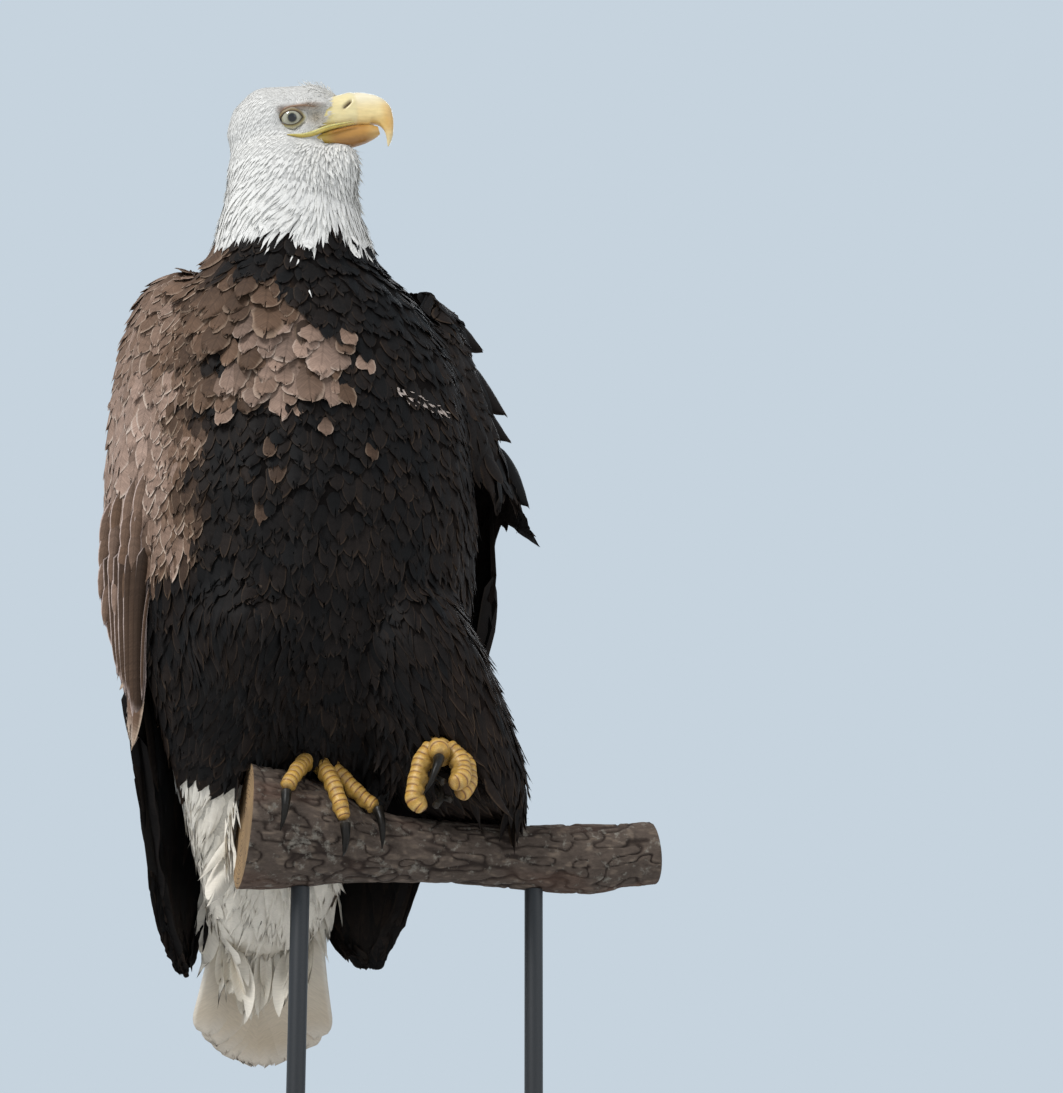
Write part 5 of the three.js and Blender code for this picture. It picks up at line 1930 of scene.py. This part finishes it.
def make_branch():
    """The cut length of branch: a round core, displaced into scaly plates and knots."""
    sides, rings = 190, 330
    keys = [(x, y, z, r, r, r) for x, y, z, r in BRANCH]
    grid, out, angle = loft(keys, np.array((0, -1.0, 0)), sides, rings)
    points = grid.reshape(-1, 3)
    along = points[:, 0]
    turn = np.broadcast_to(angle, (rings, sides)).ravel()
    radius = np.linalg.norm(points - branch_at(along)[0], axis=1)
    wrapped = np.stack([along * 0.55, np.cos(turn) * radius, np.sin(turn) * radius], -1)
    # Plates are cells with sunken cracks between them.
    warp = wrapped + 3.0 * np.stack([noise(wrapped, 11, k) for k in (41, 42, 43)], -1)
    ridged = 1 - np.abs(noise(warp, 8.5, 44)) * 2.2
    crack = ease(0.62, 0.98, ridged)
    flakes = noise(warp, 3.4, 45)
    lumps = noise(wrapped, 26, 46)
    free = ease(-46, -38, along) * ease(322, 314, along)
    move = 0.9 * lumps + 0.45 * flakes - 1.5 * crack
    for x, a, size, tall in KNOTS:
        knot = round_branch(x, a, 0)
        away = np.linalg.norm(points - knot, axis=1)
        move = move + tall * np.exp(-((away / size) ** 2)) - 1.2 * np.exp(-((away / (size * 0.3)) ** 2))
    under_foot = ease(-20, 0, along) * ease(85, 60, along)
    move = np.where(move > 0, move * (1 - 0.85 * under_foot), move)
    points = points + out.reshape(-1, 3) * ((move - 0.6) * (0.25 + 0.75 * free))[:, None]
    bark = coloured(
        "#5b5048", points.shape[:1],
        ("#857668", ease(0.1, 0.8, flakes) * 0.55),
        ("#2e2521", crack * 0.9),
        ("#6b5347", ease(0.2, 0.7, lumps) * 0.4),
    )
    points = capped(points, points.reshape(rings, sides, 3))
    made = piece("branch_bark", points, tube_faces(rings, sides), bark_material(), with_ends(bark))
    rings_layer = made.data.attributes.new("Rings", "FLOAT_VECTOR", "POINT")
    far = np.zeros((len(made.data.vertices), 3), np.float32)
    co = places(made.data)
    away = co - branch_at(co[:, 0])[0]
    far[:, 0] = np.linalg.norm(away, axis=1)
    far[:, 1:] = away[:, 1:] / np.maximum(far[:, :1], 1)
    rings_layer.data.foreach_set("vector", far.ravel())
    made.data.materials.append(cut_wood_material())
    for face in made.data.polygons:
        if face.vertices[0] >= rings * sides or len(face.vertices) == 3:
            face.material_index = 1
            face.use_smooth = False
    return finish(made, "bark", "perch_branch")


def stand_wood():
    """An oiled walnut board: fine straight grain with a low satin sheen."""
    m = new_material("oiled_walnut_board")
    place = add(m, "TexCoord").outputs["Object"]
    drawn = add(m, "Mapping", Vector=place, Scale=(4, 60, 60)).outputs[0]
    figure = add(
        m, "TexNoise", Vector=drawn, Scale=1.0, Detail=5.0, Roughness=0.6, Distortion=0.6,
    ).outputs[0]
    fine = add(m, "Mapping", Vector=place, Scale=(30, 900, 900)).outputs[0]
    pores = add(m, "TexNoise", Vector=fine, Scale=1.0, Detail=3.0, Roughness=0.6).outputs[0]
    tints = ((0.3, "#3b281c"), (0.5, "#5a3f2c"), (0.7, "#7a5a3f"))
    wood = ramp(m, figure, *tints)
    pored = add(m, "MapRange", Value=pores, _1=0.35, _2=0.6, _3=0.7, _4=1.05).outputs[0]
    shaded = add(m, "VectorMath", {"operation": "SCALE"}, _0=wood, Scale=pored).outputs[0]
    bump = add(m, "Bump", Height=pores, Strength=0.15, Distance=0.0003).outputs[0]
    surface(m, Base_Color=shaded, Roughness=0.42, Normal=bump)
    return m


def stand_steel():
    """Black powder-coated steel: a faint orange peel and a dull satin gloss."""
    m = new_material("black_powder_coated_steel")
    place = add(m, "TexCoord").outputs["Object"]
    peel = add(m, "TexNoise", Vector=place, Scale=900.0, Detail=2.0).outputs[0]
    tone = ramp(m, peel, (0.3, "#1d1f21"), (0.7, "#26282b"))
    bump = add(m, "Bump", Height=peel, Strength=0.12, Distance=0.0002).outputs[0]
    surface(m, Base_Color=tone, Roughness=0.46, Normal=bump)
    return m


def settle(made, material, slot, *nodes):
    """Puts a made piece's place into its mesh and finishes it."""
    pick(made)
    bpy.ops.object.transform_apply(location=True, rotation=True, scale=True)
    bpy.ops.object.shade_smooth_by_angle(angle=math.radians(35))
    made.select_set(False)
    made.data.materials.clear()
    made.data.materials.append(material)
    return finish(made, slot, *nodes)


ROD_EDGE = 0.0006  # metres, as the three below
COLLAR_EDGE = 0.0035
BOARD_CORNER = 0.060
BOARD_EDGE = 0.006


def make_rod(index, material):
    """One round rod of the stand, with its collar: a turned flange with a rounded shoulder."""
    for word, flat_edge in (("rod", ROD_EDGE), ("collar", COLLAR_EDGE)):
        node = "stand_%s_%d" % (word, index)
        low, high = (Vector(c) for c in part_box(node))
        bpy.ops.mesh.primitive_cylinder_add(
            vertices=96, radius=(high.x - low.x) / 2, depth=high.z - low.z, location=(low + high) / 2
        )
        made = bpy.context.object
        made.name = node + "_turned"
        rounding = made.modifiers.new("edge", "BEVEL")
        rounding.width = flat_edge
        rounding.segments = 5
        rounding.limit_method = "ANGLE"
        apply_modifiers(made)
        settle(made, material, "stand_metal", node)


def make_board(material):
    """The flat base: a board with round corners and a moulded upper edge."""
    low, high = (Vector(c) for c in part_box("stand_base"))
    size = high - low
    bpy.ops.mesh.primitive_cube_add(size=1, location=(low + high) / 2, scale=size)
    made = bpy.context.object
    made.name = "stand_base_board"
    bpy.ops.object.transform_apply(location=True, rotation=False, scale=True)
    work = bmesh.new()
    work.from_mesh(made.data)
    upright = [e for e in work.edges if abs(e.verts[0].co.z - e.verts[1].co.z) > size.z / 2]
    bmesh.ops.bevel(work, geom=upright, offset=BOARD_CORNER, segments=20, affect="EDGES", profile=0.5)
    top = [
        e for e in work.edges
        if min(v.co.z for v in e.verts) > high.z - 1e-5 and len(e.link_faces) == 2
        and any(abs(f.normal.z) < 0.5 for f in e.link_faces)
    ]
    bmesh.ops.bevel(work, geom=top, offset=BOARD_EDGE, segments=6, affect="EDGES", profile=0.4)
    work.to_mesh(made.data)
    work.free()
    settle(made, material, "stand_wood", "stand_base")


make_branch()
steel = stand_steel()
for index in (1, 2):
    make_rod(index, steel)
make_board(stand_wood())


# ---- camera, light and floor
CAMERA_PLACE = (-0.594, -2.378, 0.045)
CAMERA_AIM = (0.27765, 0.91982, 0.27720)
LENS = 92.94  # millimetres
# Lamps: name, place, how wide each spreads in degrees, and power.
LAMPS = [
    ("key", (-2.0, -1.5, 2.9), 20, 2.15), ("fill", (2.2, -2.4, 1.6), 60, 0.5),
    ("rim", (0.9, 2.4, 2.2), 30, 0.8),
]


def make_stage():
    scene = bpy.context.scene
    data = bpy.data.cameras.new("camera")
    data.lens = LENS
    data.sensor_width = 36
    data.clip_start = 0.05
    camera = bpy.data.objects.new("camera", data)
    camera.location = CAMERA_PLACE
    camera.rotation_euler = Vector(CAMERA_AIM).to_track_quat("-Z", "Y").to_euler()
    scene.collection.objects.link(camera)
    scene.camera = camera

    bpy.ops.mesh.primitive_plane_add(size=60)
    floor = bpy.context.object
    floor.name = "floor"
    paper = new_material("matt_paper_floor")
    surface(paper, Base_Color=rgba("#d9dde0"), Roughness=0.9)
    floor.data.materials.append(paper)

    world = bpy.data.worlds.new("studio")
    scene.world = world
    world.use_nodes = True
    world.node_tree.nodes.clear()
    ray = add(world, "LightPath")
    seen = ray.outputs["Is Camera Ray"]
    for kind in ("Is Glossy Ray", "Is Transmission Ray"):
        seen = add(world, "Math", {"operation": "MAXIMUM"}, _0=seen, _1=ray.outputs[kind]).outputs[0]
    backdrop = add(world, "Background", Color=rgba("#c6d3de"), Strength=1.0)
    soft = add(world, "Background", Color=rgba("#f3f6fa"), Strength=0.42)
    both = add(world, "MixShader", _0=seen, _1=soft.outputs[0], _2=backdrop.outputs[0])
    add(world, "OutputWorld", Surface=both.outputs[0])

    target = Vector((-0.05, -0.03, 0.8))
    for name, place, soft_angle, power in LAMPS:
        lamp = bpy.data.lights.new(name, "SUN")
        lamp.angle = math.radians(soft_angle)
        lamp.energy = power
        held = bpy.data.objects.new(name, lamp)
        held.location = place
        held.rotation_euler = (target - Vector(place)).to_track_quat("-Z", "Y").to_euler()
        scene.collection.objects.link(held)
    scene.view_settings.view_transform = "Standard"


make_stage()
